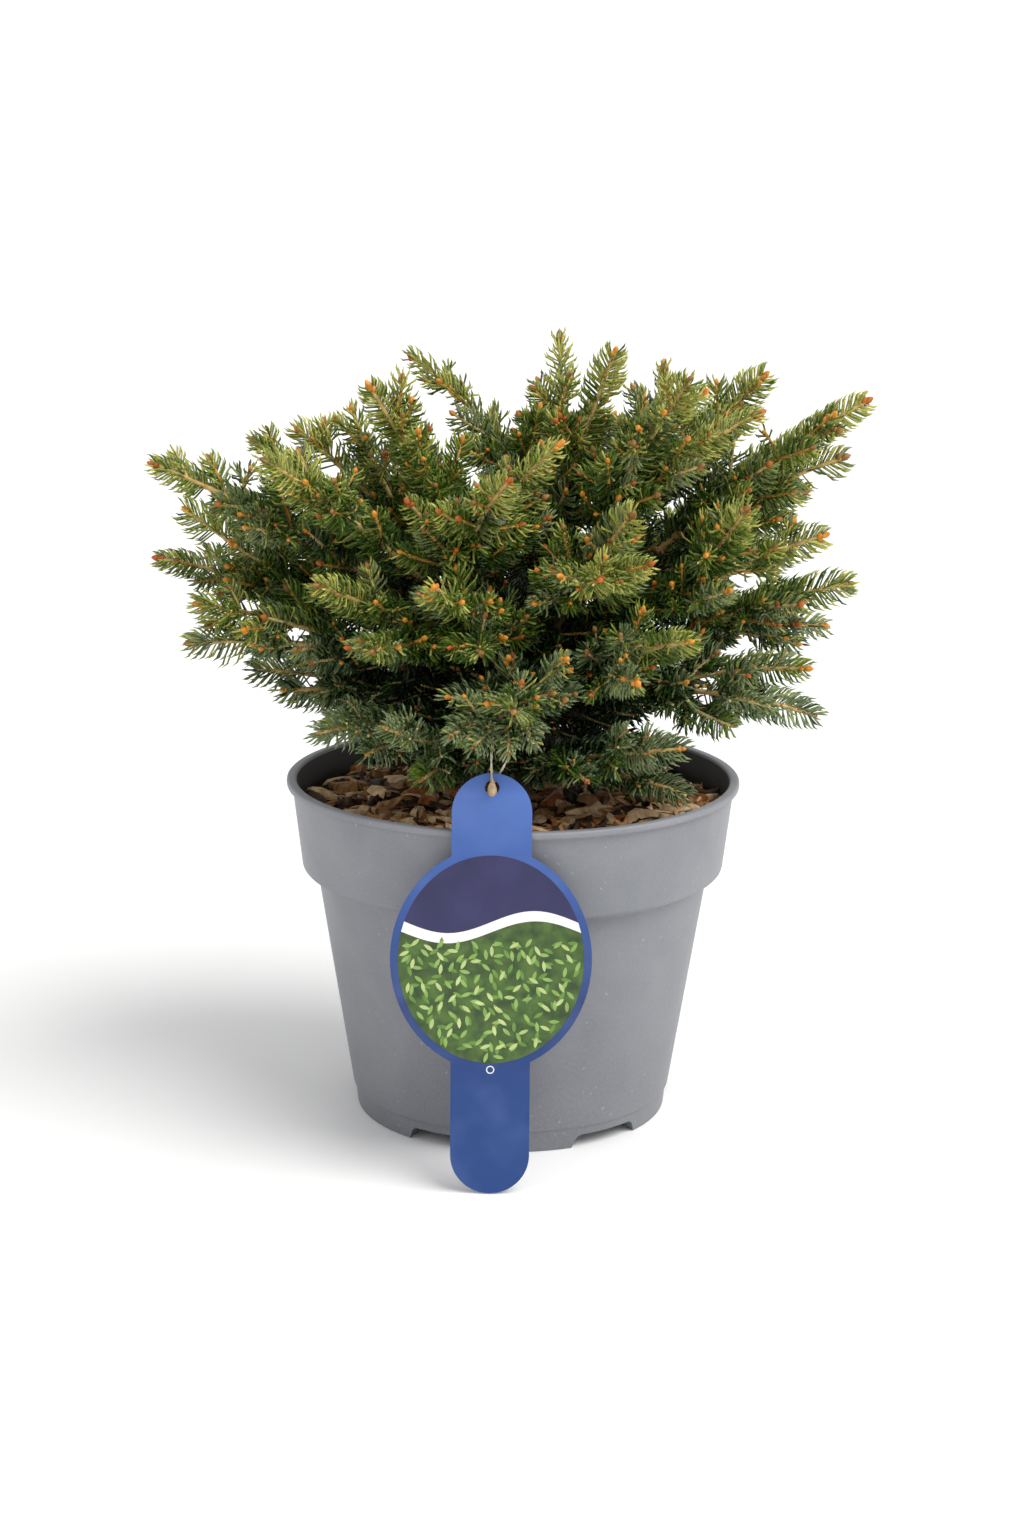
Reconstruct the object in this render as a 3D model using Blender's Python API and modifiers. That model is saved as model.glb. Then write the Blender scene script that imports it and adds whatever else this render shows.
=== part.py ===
"""Birds nest spruce, a low spreading conifer, in its grey nursery pot.

Metres, +Z up. The origin is on the pot's axis, on the surface that the pot stands on.
Azimuth 0 is the front (-Y) and azimuth 90 is the right (+X). Rise is the angle above level.
"""
import math
import random

import bmesh
import bpy
from mathutils import Euler, Matrix, Quaternion, Vector, kdtree, noise

UP = Vector((0.0, 0.0, 1.0))
GAP = 0.0003
SHARP_ANGLE = math.radians(35.0)
WELD = 0.000001
SEAM_MERGE = 0.00005

# Pot: a 19 cm container of 3 litres; each notch of its foot has an azimuth and an angle of width
POT_HEIGHT = 0.1432
LIP_RADIUS = 0.0950
LIP_HEIGHT = 0.0030
LIP_ROUNDING = 0.0009
LIP_INSIDE_RADIUS = 0.0909
BAND_TOP_RADIUS = 0.0927
BAND_FOOT_RADIUS = 0.0886
BAND_FOOT_Z = 0.1055
STEP_Z = 0.1034
BODY_TOP_RADIUS = 0.0825
BODY_FOOT_RADIUS = 0.0678
SEAM_Z = 0.0095
FOOT_RADIUS = 0.0660
FOOT_WIDTH = 0.0070
WALL = 0.0014
BASE_Z = 0.0062
NOTCHES = ((37.0, 29.0), (105.0, 29.0), (178.0, 29.0), (-104.0, 29.0), (-26.5, 25.0))
NOTCH_TAPER = 0.14
NOTCH_HEIGHT = 0.0055
NOTCH_ROUNDING = 0.0022
DRAIN_RADIUS = 0.0045
DRAIN_CIRCLE = 0.0480
DRAIN_SIDES = 10
POT_STEPS = 32

# Filling
MIX_TOP = 0.1240
MULCH_TOP = 0.1325
MULCH_RADIUS = 0.0884
MULCH_EDGE = 0.0020
MULCH_RELIEF = 0.0022
MULCH_GRAIN = 90.0
MULCH_LEVEL_PATCH = 0.0180
MULCH_LAST_RING = 0.0813
MULCH_RING_COUNT = 5
FILL_STEPS = 24

# Trunk
TRUNK_TOP = 0.2080
TRUNK_RADIUS = 0.0068
TRUNK_TIP_RADIUS = 0.0042
ROOT_FLARE = 0.0045
ROOT_FLARE_HEIGHT = 0.0100
TRUNK_LEAN = Vector((0.0030, 0.0020, 0.0))
TRUNK_SIDES = 12
FLARE_RINGS = (0.0, 0.15, 0.40, 0.80)
RINGS_ABOVE_FLARE = 5

# Limbs: rise and reach are measured from the crown's centre, and shares are of a limb's length
CROWN_CENTRE = Vector((0.0, 0.0, 0.1650))
LOWEST_BASE = 0.1440
HIGHEST_BASE = 0.2020
BASE_SHIFT = 0.0020
BASE_TRIES = 48
FLATTEST_RISE = -12.0
TIP_RISE = 70.0
FOOT_TILT = 10.0
FOOT_SHARE = 0.93
ARCH = 0.13
FORK_BEND = 0.25
BOUGH_SHARE = 0.37
FORK_PAST_BOUGH = 0.02
BARE_SHARE = 0.26
BOUGH_SLENDERNESS = 0.0160
BOUGH_TIP_RADIUS = 0.0018
BOUGH_SIDES = 6
BOUGH_RINGS = 4
BARE_STEM_RADIUS = 0.00192
STEM_RADIUS = 0.0016
SIDE_RADIUS = 0.0012
TIP_RADIUS = 0.0008
LIMB_CLEARANCE = 0.0008
FINE_STEP = 0.001
LINE_STEP = 0.002

# Twigs and needles
TWIG_SIDES = 3
RING_STEP = 0.0115
NODE_STEP = 0.0335
FIRST_NODE = 0.006
NODE_SPREAD = 0.1
SIDE_ANGLE = 46.0
SIDE_ANGLE_SPREAD = 6.0
SIDE_ROLL = 22.0
SIDE_SHARE = 0.60
SIDE_LONGEST = 0.0460
SIDE_SHORTEST = 0.0150
SIDE_SPREAD = 0.15
SIDE_SHORTENING = 0.85
SIDE_BEND = 0.06
SIDE_BARE = 0.0040
NECK = 0.5
NEEDLE = 0.0118
NEEDLE_LEAN = 48.0
NEEDLE_TURN = 32.0
NEEDLE_SHARES = (1.0, 0.75, 0.55)
NEEDLE_CHECKS = (0.3, 0.65, 1.0)
BUD = 0.0035
SEED = 1

# Label: a flat card that stands on the floor and leans on the pot's lip
LABEL_LENGTH = 0.1671
LABEL_THICKNESS = 0.0006
TAB_HALF_WIDTH = 0.0155
DISC_HALF_WIDTH = 0.0392
DISC_HALF_HEIGHT = 0.0442
DISC_CENTRE = 0.0938
LABEL_X = -0.0080
LABEL_LEAN = math.radians(5.3)
HOLE_FROM_TOP = 0.0056
HOLE_RADIUS = 0.0028
TIE_RADIUS = 0.0005
TIE_LOOP_RADIUS = 0.0042
TIE_FROM_AXIS = 0.0860
KNOT_RADIUS = 0.0018

# Each mass of needles: whether a bough carries it, and its leaders' azimuth, rise and reach
MASSES = {
    "left_top": (True, [(-80, 37, 0.187)]),
    "left_long": (True, [(-95, 24, 0.167), (-101, 31, 0.168)]),
    "left_middle": (True, [(-75, 23, 0.146), (-79, 16, 0.142)]),
    "left_low": (True, [(-92, 11, 0.114), (-80, 10, 0.101)]),
    "left_skirt": (False, [(-50, 6, 0.104), (-42, 1, 0.090)]),
    "left_back_high": (True, [(-112, 43, 0.168)]),
    "left_front_high": (True, [(-60, 46, 0.165)]),
    "left_crown": (True, [(-90, 54, 0.154), (-81, 63, 0.151)]),
    "left_peak": (False, [(-60, 65, 0.161)]),
    "peak": (False, [(60, 74, 0.166), (128, 82, 0.164), (-122, 71, 0.162)]),
    "right_crown": (True, [(101, 54, 0.181), (111, 66, 0.164)]),
    "right_front_crown": (True, [(51, 60, 0.174), (73, 53, 0.170)]),
    "right_long": (True, [(86, 44, 0.200), (91, 40, 0.178)]),
    "right_back": (True, [(107, 36, 0.163)]),
    "right_middle": (True, [(72, 34, 0.158), (58, 43, 0.148)]),
    "right_low": (True, [(88, 24, 0.154), (100, 16, 0.142)]),
    "right_skirt": (True, [(70, 15, 0.132), (86, 3, 0.129), (62, 10, 0.120)]),
    "right_droop": (False, [(55, -12, 0.090)]),
    "front_right_high": (True, [(33, 50, 0.131), (18, 37, 0.133)]),
    "front_high": (True, [(-38, 56, 0.124), (-2, 56, 0.138), (15, 63, 0.142)]),
    "front_left": (False, [(-20, 39, 0.118), (-8, 28, 0.106)]),
    "front_left_side": (False, [(-52, 35, 0.122), (-32, 25, 0.116)]),
    "front_right_low": (False, [(40, 26, 0.120), (28, 20, 0.110)]),
    "front_low": (False, [(0, 15, 0.124), (12, 26, 0.108)]),
    "front_left_droop": (False, [(-24, -3, 0.092), (-30, 10, 0.104)]),
    "front_right_droop": (False, [(22, -5, 0.082), (46, 3, 0.096)]),
    "back_left": (True, [(-132, 30, 0.150), (-118, 14, 0.132)]),
    "back_left_low": (True, [(-160, 28, 0.138), (-148, 12, 0.124)]),
    "back_right": (True, [(168, 30, 0.140), (176, 12, 0.122)]),
    "back_right_side": (True, [(136, 34, 0.150), (130, 15, 0.133)]),
    "back_high": (True, [(-148, 52, 0.150), (156, 54, 0.152)]),
    "back_droop": (False, [(172, 1, 0.106), (126, 2, 0.108)]),
    "back_left_droop": (False, [(-140, 1, 0.104), (-112, 3, 0.106)]),
}
TIED_MASS = "front_low"


def new_collection(name):
    collection = bpy.data.collections.new(name)
    bpy.context.scene.collection.children.link(collection)
    return collection


def make_material(name, colour, roughness):
    material = bpy.data.materials.new(name)
    material.use_nodes = True
    shader = material.node_tree.nodes["Principled BSDF"]
    shader.inputs["Base Color"].default_value = (*colour, 1.0)
    shader.inputs["Roughness"].default_value = roughness
    shader.inputs["Metallic"].default_value = 0.0
    material.diffuse_color = (*colour, 1.0)
    return material


def add_object(name, data, collection, material=None):
    obj = bpy.data.objects.new(name, data)
    collection.objects.link(obj)
    if material:
        data.materials.clear()
        data.materials.append(material)
    return obj


def move_to(obj, collection):
    for old in obj.users_collection:
        old.objects.unlink(obj)
    collection.objects.link(obj)


def flatten(obj, collection, material):
    """Turn an object with a curve or modifiers into a plain welded mesh object."""
    graph = bpy.context.evaluated_depsgraph_get()
    mesh = bpy.data.meshes.new_from_object(obj.evaluated_get(graph))
    welded = bmesh.new()
    welded.from_mesh(mesh)
    bmesh.ops.remove_doubles(welded, verts=welded.verts, dist=WELD)
    welded.to_mesh(mesh)
    welded.free()
    mesh.shade_smooth()
    mesh.set_sharp_from_angle(angle=SHARP_ANGLE)
    name = obj.name
    matrix = obj.matrix_world.copy()
    bpy.data.objects.remove(obj)
    plain = add_object(name, mesh, collection, material)
    plain.matrix_world = matrix
    return plain


def turned(name, profile, steps, collection, material):
    """Turn a profile of (radius, z) pairs, which runs down its outer side, round the Z axis."""
    mesh = bpy.data.meshes.new(name)
    edges = [(i, i + 1) for i in range(len(profile) - 1)]
    mesh.from_pydata([(radius, 0.0, z) for radius, z in profile], edges, [])
    obj = add_object(name, mesh, collection, material)
    screw = obj.modifiers.new("turn", "SCREW")
    screw.steps = steps
    screw.render_steps = steps
    screw.use_merge_vertices = True
    screw.merge_threshold = SEAM_MERGE
    return obj


def tube(name, points, radii, sides, collection, material, closed=False):
    """A tapered tube through the points, with an even number of sides from 4 to 12."""
    curve = bpy.data.curves.new(name, "CURVE")
    curve.dimensions = "3D"
    curve.bevel_depth = 1.0
    curve.bevel_resolution = sides // 2 - 2
    curve.use_fill_caps = not closed
    spline = curve.splines.new("POLY")
    spline.points.add(len(points) - 1)
    spline.use_cyclic_u = closed
    for knot, point, radius in zip(spline.points, points, radii):
        knot.co = (*point, 1.0)
        knot.radius = radius
    return flatten(add_object(name, curve, collection), collection, material)


def cut(obj, cutter):
    cutter.hide_render = True
    cutter.display_type = "WIRE"
    modifier = obj.modifiers.new("cut " + cutter.name, "BOOLEAN")
    modifier.operation = "DIFFERENCE"
    modifier.object = cutter


def outward(azimuth):
    angle = math.radians(azimuth)
    return Vector((math.sin(angle), -math.cos(angle), 0.0))


def build_pot(collection, cutters, material):
    lip_under = POT_HEIGHT - LIP_HEIGHT
    profile = [
        (0.0, BASE_Z + WALL),
        (BODY_FOOT_RADIUS - WALL, BASE_Z + WALL),
        (BODY_TOP_RADIUS - WALL, STEP_Z),
        (BAND_FOOT_RADIUS - WALL, BAND_FOOT_Z),
        (LIP_INSIDE_RADIUS, POT_HEIGHT - LIP_ROUNDING),
        (LIP_INSIDE_RADIUS + LIP_ROUNDING, POT_HEIGHT),
        (LIP_RADIUS - LIP_ROUNDING, POT_HEIGHT),
        (LIP_RADIUS, POT_HEIGHT - LIP_ROUNDING),
        (LIP_RADIUS, lip_under + LIP_ROUNDING),
        (BAND_TOP_RADIUS, lip_under),
        (BAND_FOOT_RADIUS, BAND_FOOT_Z + LIP_ROUNDING),
        (BAND_FOOT_RADIUS - LIP_ROUNDING, BAND_FOOT_Z - LIP_ROUNDING),
        (BODY_TOP_RADIUS, STEP_Z),
        (BODY_FOOT_RADIUS, SEAM_Z),
        (FOOT_RADIUS + LIP_ROUNDING, SEAM_Z - LIP_ROUNDING),
        (FOOT_RADIUS, 0.0),
        (FOOT_RADIUS - FOOT_WIDTH, 0.0),
        (FOOT_RADIUS - FOOT_WIDTH, BASE_Z),
        (0.0, BASE_Z),
    ]
    pot = turned("pot", profile, POT_STEPS, collection, material)
    for index, (azimuth, angle) in enumerate(NOTCHES):
        cut(pot, notch_cutter(index, azimuth, angle, cutters))
        cut(pot, drain_cutter(index, azimuth, cutters))
    return flatten(pot, collection, material)


def notch_cutter(index, azimuth, angle, cutters):
    """A block, rounded and narrower upward, that takes the space between two feet out of the ring."""
    width = 2.0 * FOOT_RADIUS * math.sin(math.radians(angle / 2.0))
    bpy.ops.mesh.primitive_cube_add(size=1.0, location=outward(azimuth) * FOOT_RADIUS)
    notch = bpy.context.object
    notch.name = f"notch_{index}"
    notch.data.transform(Matrix.Diagonal((width, FOOT_WIDTH * 4.0, NOTCH_HEIGHT * 2.0, 1.0)))
    for vertex in notch.data.vertices:
        vertex.co.x *= 1.0 - NOTCH_TAPER * vertex.co.z / NOTCH_HEIGHT
    notch.rotation_euler.z = math.radians(azimuth)
    corners = notch.modifiers.new("corners", "BEVEL")
    corners.width = NOTCH_ROUNDING
    corners.segments = 2
    move_to(notch, cutters)
    return notch


def drain_cutter(index, azimuth, cutters):
    place = outward(azimuth) * DRAIN_CIRCLE + UP * BASE_Z
    bpy.ops.mesh.primitive_cylinder_add(
        vertices=DRAIN_SIDES, radius=DRAIN_RADIUS, depth=BASE_Z, location=place)
    drain = bpy.context.object
    drain.name = f"drain_{index}"
    move_to(drain, cutters)
    return drain


def build_potting_mix(collection, material):
    inset = WALL + 2.0 * GAP
    floor = BASE_Z + WALL + GAP
    profile = [
        (0.0, MIX_TOP),
        (MULCH_RADIUS, MIX_TOP),
        (BAND_FOOT_RADIUS - inset, BAND_FOOT_Z + GAP),
        (BODY_TOP_RADIUS - inset, STEP_Z),
        (BODY_FOOT_RADIUS - inset, floor),
        (0.0, floor),
    ]
    return flatten(turned("potting_mix", profile, FILL_STEPS, collection, material), collection, material)


def build_bark_mulch(collection, material):
    """A layer of bark chips, rough on top and level where the trunk stands."""
    spread = MULCH_LAST_RING - MULCH_LEVEL_PATCH
    rings = [MULCH_LEVEL_PATCH + spread * i / (MULCH_RING_COUNT - 1) for i in range(MULCH_RING_COUNT)]
    profile = [(0.0, MULCH_TOP)] + [(radius, MULCH_TOP) for radius in rings] + [
        (MULCH_RADIUS, MULCH_TOP - MULCH_EDGE),
        (MULCH_RADIUS, MIX_TOP + GAP),
        (0.0, MIX_TOP + GAP),
    ]
    mulch = flatten(turned("bark_mulch", profile, FILL_STEPS, collection, material), collection, material)
    for vertex in mulch.data.vertices:
        on_top = vertex.co.z > MULCH_TOP - MULCH_EDGE - GAP
        if on_top and vertex.co.xy.length > MULCH_LEVEL_PATCH + GAP:
            vertex.co.z += MULCH_RELIEF * noise.noise(vertex.co * MULCH_GRAIN)
    return mulch


def trunk_centre(z):
    share = (z - MULCH_TOP) / (TRUNK_TOP - MULCH_TOP)
    return TRUNK_LEAN * share * share + UP * z


def trunk_radius(z):
    share = (z - MULCH_TOP) / (TRUNK_TOP - MULCH_TOP)
    flare = max(0.0, 1.0 - (z - MULCH_TOP) / ROOT_FLARE_HEIGHT)
    return TRUNK_RADIUS + share * (TRUNK_TIP_RADIUS - TRUNK_RADIUS) + ROOT_FLARE * flare ** 2


def trunk_heights():
    """Rings that are close together in the root flare and even above it."""
    foot = MULCH_TOP + GAP
    flare = [foot + ROOT_FLARE_HEIGHT * share for share in FLARE_RINGS]
    above = TRUNK_TOP - flare[-1]
    return flare + [flare[-1] + above * (i + 1) / RINGS_ABOVE_FLARE for i in range(RINGS_ABOVE_FLARE)]


def build_trunk(collection, material):
    heights = trunk_heights()
    points = [trunk_centre(z) for z in heights]
    return tube("trunk", points, [trunk_radius(z) for z in heights], TRUNK_SIDES, collection, material)


class Path:
    """A smooth line from a base, pulled towards a middle point, to a tip."""

    def __init__(self, base, middle, tip):
        self.base = base
        self.middle = middle
        self.tip = tip
        steps = [self.at(i / 16) for i in range(17)]
        self.length = sum((b - a).length for a, b in zip(steps, steps[1:]))

    def at(self, t):
        return self.base.lerp(self.middle, t).lerp(self.middle.lerp(self.tip, t), t)

    def direction(self, t):
        return (self.middle - self.base).lerp(self.tip - self.middle, t).normalized()

    def rest(self, t):
        """The same line from a share of it to its tip."""
        return Path(self.at(t), self.middle.lerp(self.tip, t), self.tip)

    def samples(self, step, start=0.0, end=1.0):
        count = max(2, round(self.length * (end - start) / step))
        return [self.at(start + (end - start) * i / count) for i in range(count + 1)]


def tip_place(leader):
    azimuth, rise, reach = leader
    angle = math.radians(rise)
    return CROWN_CENTRE + (outward(azimuth) * math.cos(angle) + UP * math.sin(angle)) * (reach - BUD)


def first_path(base, leader):
    """A leader's line from the trunk, which leaves steeply and flattens outward."""
    tip = tip_place(leader)
    lift = UP * ARCH * (tip - base).length * math.cos(math.radians(leader[1]))
    return Path(base, base.lerp(tip, 0.5) + lift, tip)


def fork_path(base, forward, leader):
    """A further leader's line, which starts along the first and turns to its own tip."""
    tip = tip_place(leader)
    chord = tip - base
    return Path(base, base.lerp(tip, 0.5) + (forward * chord.length - chord) * FORK_BEND, tip)


def root_radius(carried, leader):
    return leader[2] * BOUGH_SLENDERNESS if carried else BARE_STEM_RADIUS


def base_on_trunk(leader, z, radius):
    """The foot of a limb, a gap clear of the trunk's side or, for the steepest, of its tip."""
    rise = math.radians(max(0.0, leader[1]) + FOOT_TILT)
    if leader[1] > TIP_RISE:
        return trunk_centre(TRUNK_TOP) + UP * (GAP + radius * math.cos(rise))
    distance = trunk_radius(z) + GAP + FOOT_SHARE * radius * math.sin(rise)
    return trunk_centre(z) + outward(leader[0]) * distance


def place_limbs():
    """Give each mass's first leader a foot on the trunk, clear of the ones already placed."""
    placed = []
    paths = {}
    for name, (carried, leaders) in sorted(MASSES.items(), key=lambda item: item[1][1][0][1]):
        leader = leaders[0]
        radius = root_radius(carried, leader)
        wanted = LOWEST_BASE + (leader[1] - FLATTEST_RISE) / 90.0 * (HIGHEST_BASE - LOWEST_BASE)
        for attempt in range(BASE_TRIES):
            shift = BASE_SHIFT * ((attempt + 1) // 2) * (1 if attempt % 2 else -1)
            lowest = MULCH_TOP + ROOT_FLARE_HEIGHT / 2.0
            z = min(TRUNK_TOP - 2.0 * radius, max(lowest, wanted + shift))
            path = first_path(base_on_trunk(leader, z, radius), leader)
            inner = path.samples(FINE_STEP, 0.0, BOUGH_SHARE)
            if is_clear(inner, radius, placed):
                break
        else:
            raise ValueError(f"no clear foot on the trunk for {name}")
        placed.append((inner, radius))
        paths[name] = path
    return paths


def is_clear(points, radius, placed):
    for others, other_radius in placed:
        least = radius + other_radius + LIMB_CLEARANCE
        if any((a - b).length < least for a in points for b in others):
            return False
    return True


class Limbs:
    """The trunk, the boughs and every leader's line, worked out once for the whole plant."""

    def __init__(self):
        self.boughs = place_limbs()
        self.leaders = {}
        for name, (carried, leaders) in MASSES.items():
            bough = self.boughs[name]
            start = BOUGH_SHARE + GAP / bough.length if carried else 0.0
            fork = BOUGH_SHARE + FORK_PAST_BOUGH if carried else BARE_SHARE
            lines = [bough.rest(start)]
            for leader in leaders[1:]:
                lines.append(fork_path(bough.at(fork), bough.direction(fork), leader))
            self.leaders[name] = lines

    def bough_radius(self, name, t):
        thick = root_radius(True, MASSES[name][1][0])
        return thick + (BOUGH_TIP_RADIUS - thick) * t / BOUGH_SHARE

    def solid_samples(self):
        """Points along the trunk and the boughs, with the radius at each."""
        samples = []
        count = round((TRUNK_TOP - MULCH_TOP) / LINE_STEP)
        for i in range(count + 1):
            z = MULCH_TOP + (TRUNK_TOP - MULCH_TOP) * i / count
            samples.append((trunk_centre(z), trunk_radius(z)))
        for name, bough in self.boughs.items():
            count = round(bough.length * BOUGH_SHARE / LINE_STEP) if MASSES[name][0] else 0
            for i in range(count):
                t = BOUGH_SHARE * i / count
                samples.append((bough.at(t), self.bough_radius(name, t)))
        return samples


def build_bough(name, limbs, collection, material):
    stops = [BOUGH_SHARE * i / BOUGH_RINGS for i in range(BOUGH_RINGS + 1)]
    points = [limbs.boughs[name].at(t) for t in stops]
    radii = [limbs.bough_radius(name, t) for t in stops]
    return tube("bough_" + name, points, radii, BOUGH_SIDES, collection, material)


def point_tree(points):
    tree = kdtree.KDTree(len(points))
    for index, point in enumerate(points):
        tree.insert(point, index)
    tree.balance()
    return tree


class Surroundings:
    """What a twig or a needle keeps clear of, and the space that each mass keeps to."""

    def __init__(self, limbs, tie_points):
        lines = {}
        for name in MASSES:
            lines[name] = limbs.boughs[name].samples(LINE_STEP)
            for leader in limbs.leaders[name][1:]:
                lines[name] += leader.samples(LINE_STEP)
        self.own = {name: point_tree(points) for name, points in lines.items()}
        self.others = {}
        for name in MASSES:
            self.others[name] = point_tree([p for other in MASSES if other != name for p in lines[other]])
        solids = limbs.solid_samples()
        self.limbs = point_tree([point for point, _ in solids])
        self.limb_radii = [radius for _, radius in solids]
        strands = zip(tie_points, tie_points[1:] + tie_points[:1])
        self.tie = point_tree([a.lerp(b, i / 8) for a, b in strands for i in range(8)])

    def allows(self, mass, point, thickness):
        """True where a point is in its mass's space and clear of limbs, pot, mulch, label and tie."""
        room = thickness + 2.0 * GAP
        if self.others[mass].find(point)[2] - self.own[mass].find(point)[2] < 2.0 * room:
            return False
        _, index, distance = self.limbs.find(point)
        if distance < self.limb_radii[index] + room:
            return False
        if self.tie.find(point)[2] < TIE_RADIUS + room:
            return False
        if point.z < MULCH_TOP + MULCH_RELIEF + room:
            return False
        if point.z < POT_HEIGHT + room and point.xy.length > LIP_INSIDE_RADIUS - room:
            return False
        beside = abs(point.x - LABEL_X) > TAB_HALF_WIDTH + room
        return beside or point.z > LABEL_LENGTH + room or point.y > -LIP_INSIDE_RADIUS


class Twig:
    """One shoot: a slim three-sided core with needles drawn out of its sides."""

    def __init__(self, path, radius, bare, neck=1.0):
        self.path = path
        self.radius = radius
        self.bare = bare
        self.neck = neck
        count = max(2, round(path.length / RING_STEP))
        self.stops = [i / count for i in range(count + 1)]

    def core_radius(self, t):
        taper = self.radius + (TIP_RADIUS - self.radius) * t
        return taper * self.neck if t == 0.0 else taper


def side_twigs(mass, path, start, surroundings, seed):
    """Pairs of side shoots at each year's node, shorter towards the leader's tip."""
    twigs = []
    distance = start
    while path.length - distance > SIDE_SHORTEST:
        t = distance / path.length
        forward = path.direction(t)
        sideways = forward.cross(UP).normalized()
        upward = sideways.cross(forward)
        for side in (-1.0, 1.0):
            roll = math.radians(seed.uniform(-SIDE_ROLL, SIDE_ROLL))
            angle = math.radians(SIDE_ANGLE + seed.uniform(-SIDE_ANGLE_SPREAD, SIDE_ANGLE_SPREAD))
            across = sideways * side * math.cos(roll) + upward * math.sin(roll)
            direction = forward * math.cos(angle) + across * math.sin(angle)
            reach = min(SIDE_LONGEST, (path.length - distance) * SIDE_SHARE)
            reach *= 1.0 + seed.uniform(-SIDE_SPREAD, SIDE_SPREAD)
            line = fitting_line(mass, path.at(t), direction, forward, reach, surroundings)
            if line:
                twigs.append(Twig(line, SIDE_RADIUS, SIDE_BARE, NECK))
        distance += NODE_STEP * (1.0 + seed.uniform(-NODE_SPREAD, NODE_SPREAD))
    return twigs


def fitting_line(mass, base, direction, forward, reach, surroundings):
    """A side shoot's line, shortened until it fits, or None where there is no room for one."""
    while reach > SIDE_SHORTEST:
        middle = base + (direction * (0.5 + SIDE_BEND) - forward * SIDE_BEND) * reach
        line = Path(base, middle, base + direction * reach)
        points = line.samples(2.0 * LINE_STEP, BARE_SHARE)
        if all(surroundings.allows(mass, point, SIDE_RADIUS * 1.5) for point in points):
            return line
        reach *= SIDE_SHORTENING
    return None


def build_twig(name, mass, twig, others, surroundings, collection, seed):
    """Model a twig's core as rings along its line, then draw the needles out of its sides."""
    path = twig.path
    own = point_tree(path.samples(FINE_STEP))
    others = point_tree(others)
    core = bmesh.new()
    frame = UP.copy() if abs(path.direction(0.0).z) < 0.95 else outward(0.0)
    rings = []
    for t in twig.stops:
        forward = path.direction(t)
        frame = (frame - forward * frame.dot(forward)).normalized()
        ring = []
        for corner in range(TWIG_SIDES):
            spin = Quaternion(forward, 2.0 * math.pi * corner / TWIG_SIDES)
            ring.append(core.verts.new(path.at(t) + spin @ frame * twig.core_radius(t)))
        rings.append(ring)
    core.faces.new(reversed(rings[0]))
    tip = core.faces.new(rings[-1])
    bud = bmesh.ops.poke(core, faces=[tip])["verts"][0]
    bud.co += path.direction(1.0) * BUD
    for low, high, t in zip(rings, rings[1:], twig.stops[1:]):
        for i in range(TWIG_SIDES):
            j = (i + 1) % TWIG_SIDES
            side = core.faces.new((low[i], low[j], high[j], high[i]))
            turn = math.radians(seed.uniform(-NEEDLE_TURN, NEEDLE_TURN))
            end = needle_end(mass, side.calc_center_median(), path, t, turn, own, others, surroundings)
            if t * path.length > twig.bare and end:
                apex = bmesh.ops.poke(core, faces=[side])["verts"][0]
                apex.co = end
    mesh = bpy.data.meshes.new(name)
    core.to_mesh(mesh)
    core.free()
    return add_object(name, mesh, collection)


def needle_end(mass, root, path, t, turn, own, others, surroundings):
    """The end of a needle that leans forward from its root, or None where it has no room."""
    forward = path.direction(t)
    away = root - path.at(t)
    away = Quaternion(forward, turn) @ (away - forward * away.dot(forward)).normalized()
    lean = math.radians(NEEDLE_LEAN)
    direction = away * math.sin(lean) + forward * math.cos(lean)
    for share in NEEDLE_SHARES:
        end = root + direction * NEEDLE * share
        points = [root.lerp(end, part) for part in NEEDLE_CHECKS]
        if all(is_nearer(p, own, others) and surroundings.allows(mass, p, TIP_RADIUS / 2.0) for p in points):
            return end
    return None


def is_nearer(point, own, others):
    distance = others.find(point)[2]
    return distance is None or distance > own.find(point)[2] + TIP_RADIUS


def build_mass(name, limbs, surroundings, collection, material):
    """Grow one mass of needles from its stem and join it into one solid."""
    carried = MASSES[name][0]
    seed = random.Random(f"{name} {SEED}")
    lines = limbs.leaders[name]
    bare = SIDE_BARE if carried else lines[0].length * BARE_SHARE
    twigs = [Twig(lines[0], STEM_RADIUS if carried else root_radius(False, None), bare)]
    twigs += [Twig(line, SIDE_RADIUS, SIDE_BARE, NECK) for line in lines[1:]]
    for leader in list(twigs):
        twigs += side_twigs(name, leader.path, leader.bare + FIRST_NODE, surroundings, seed)
    scratch = bpy.data.collections.new(name + "_twigs")
    pieces = []
    for index, twig in enumerate(twigs):
        others = [p for other in twigs if other is not twig for p in other.path.samples(FINE_STEP)]
        pieces.append(build_twig(f"{name}_{index}", name, twig, others, surroundings, scratch, seed))
    body = pieces[0]
    body.name = name
    move_to(body, collection)
    union = body.modifiers.new("join", "BOOLEAN")
    union.operation = "UNION"
    union.operand_type = "COLLECTION"
    union.collection = scratch
    union.solver = "MANIFOLD"
    flatten(body, collection, material)
    for piece in pieces[1:]:
        bpy.data.objects.remove(piece)
    bpy.data.collections.remove(scratch)


def label_matrix():
    """Where the card stands: its face to the front, its back a gap clear of the pot's lip."""
    reach = LIP_RADIUS + (GAP + LABEL_THICKNESS / 2.0) / math.cos(LABEL_LEAN)
    foot_y = -reach - (POT_HEIGHT - LIP_ROUNDING) * math.tan(LABEL_LEAN)
    turn = Euler((math.pi / 2.0 - LABEL_LEAN, 0.0, 0.0)).to_matrix().to_4x4()
    return Matrix.Translation((LABEL_X, foot_y, GAP)) @ turn


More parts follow.
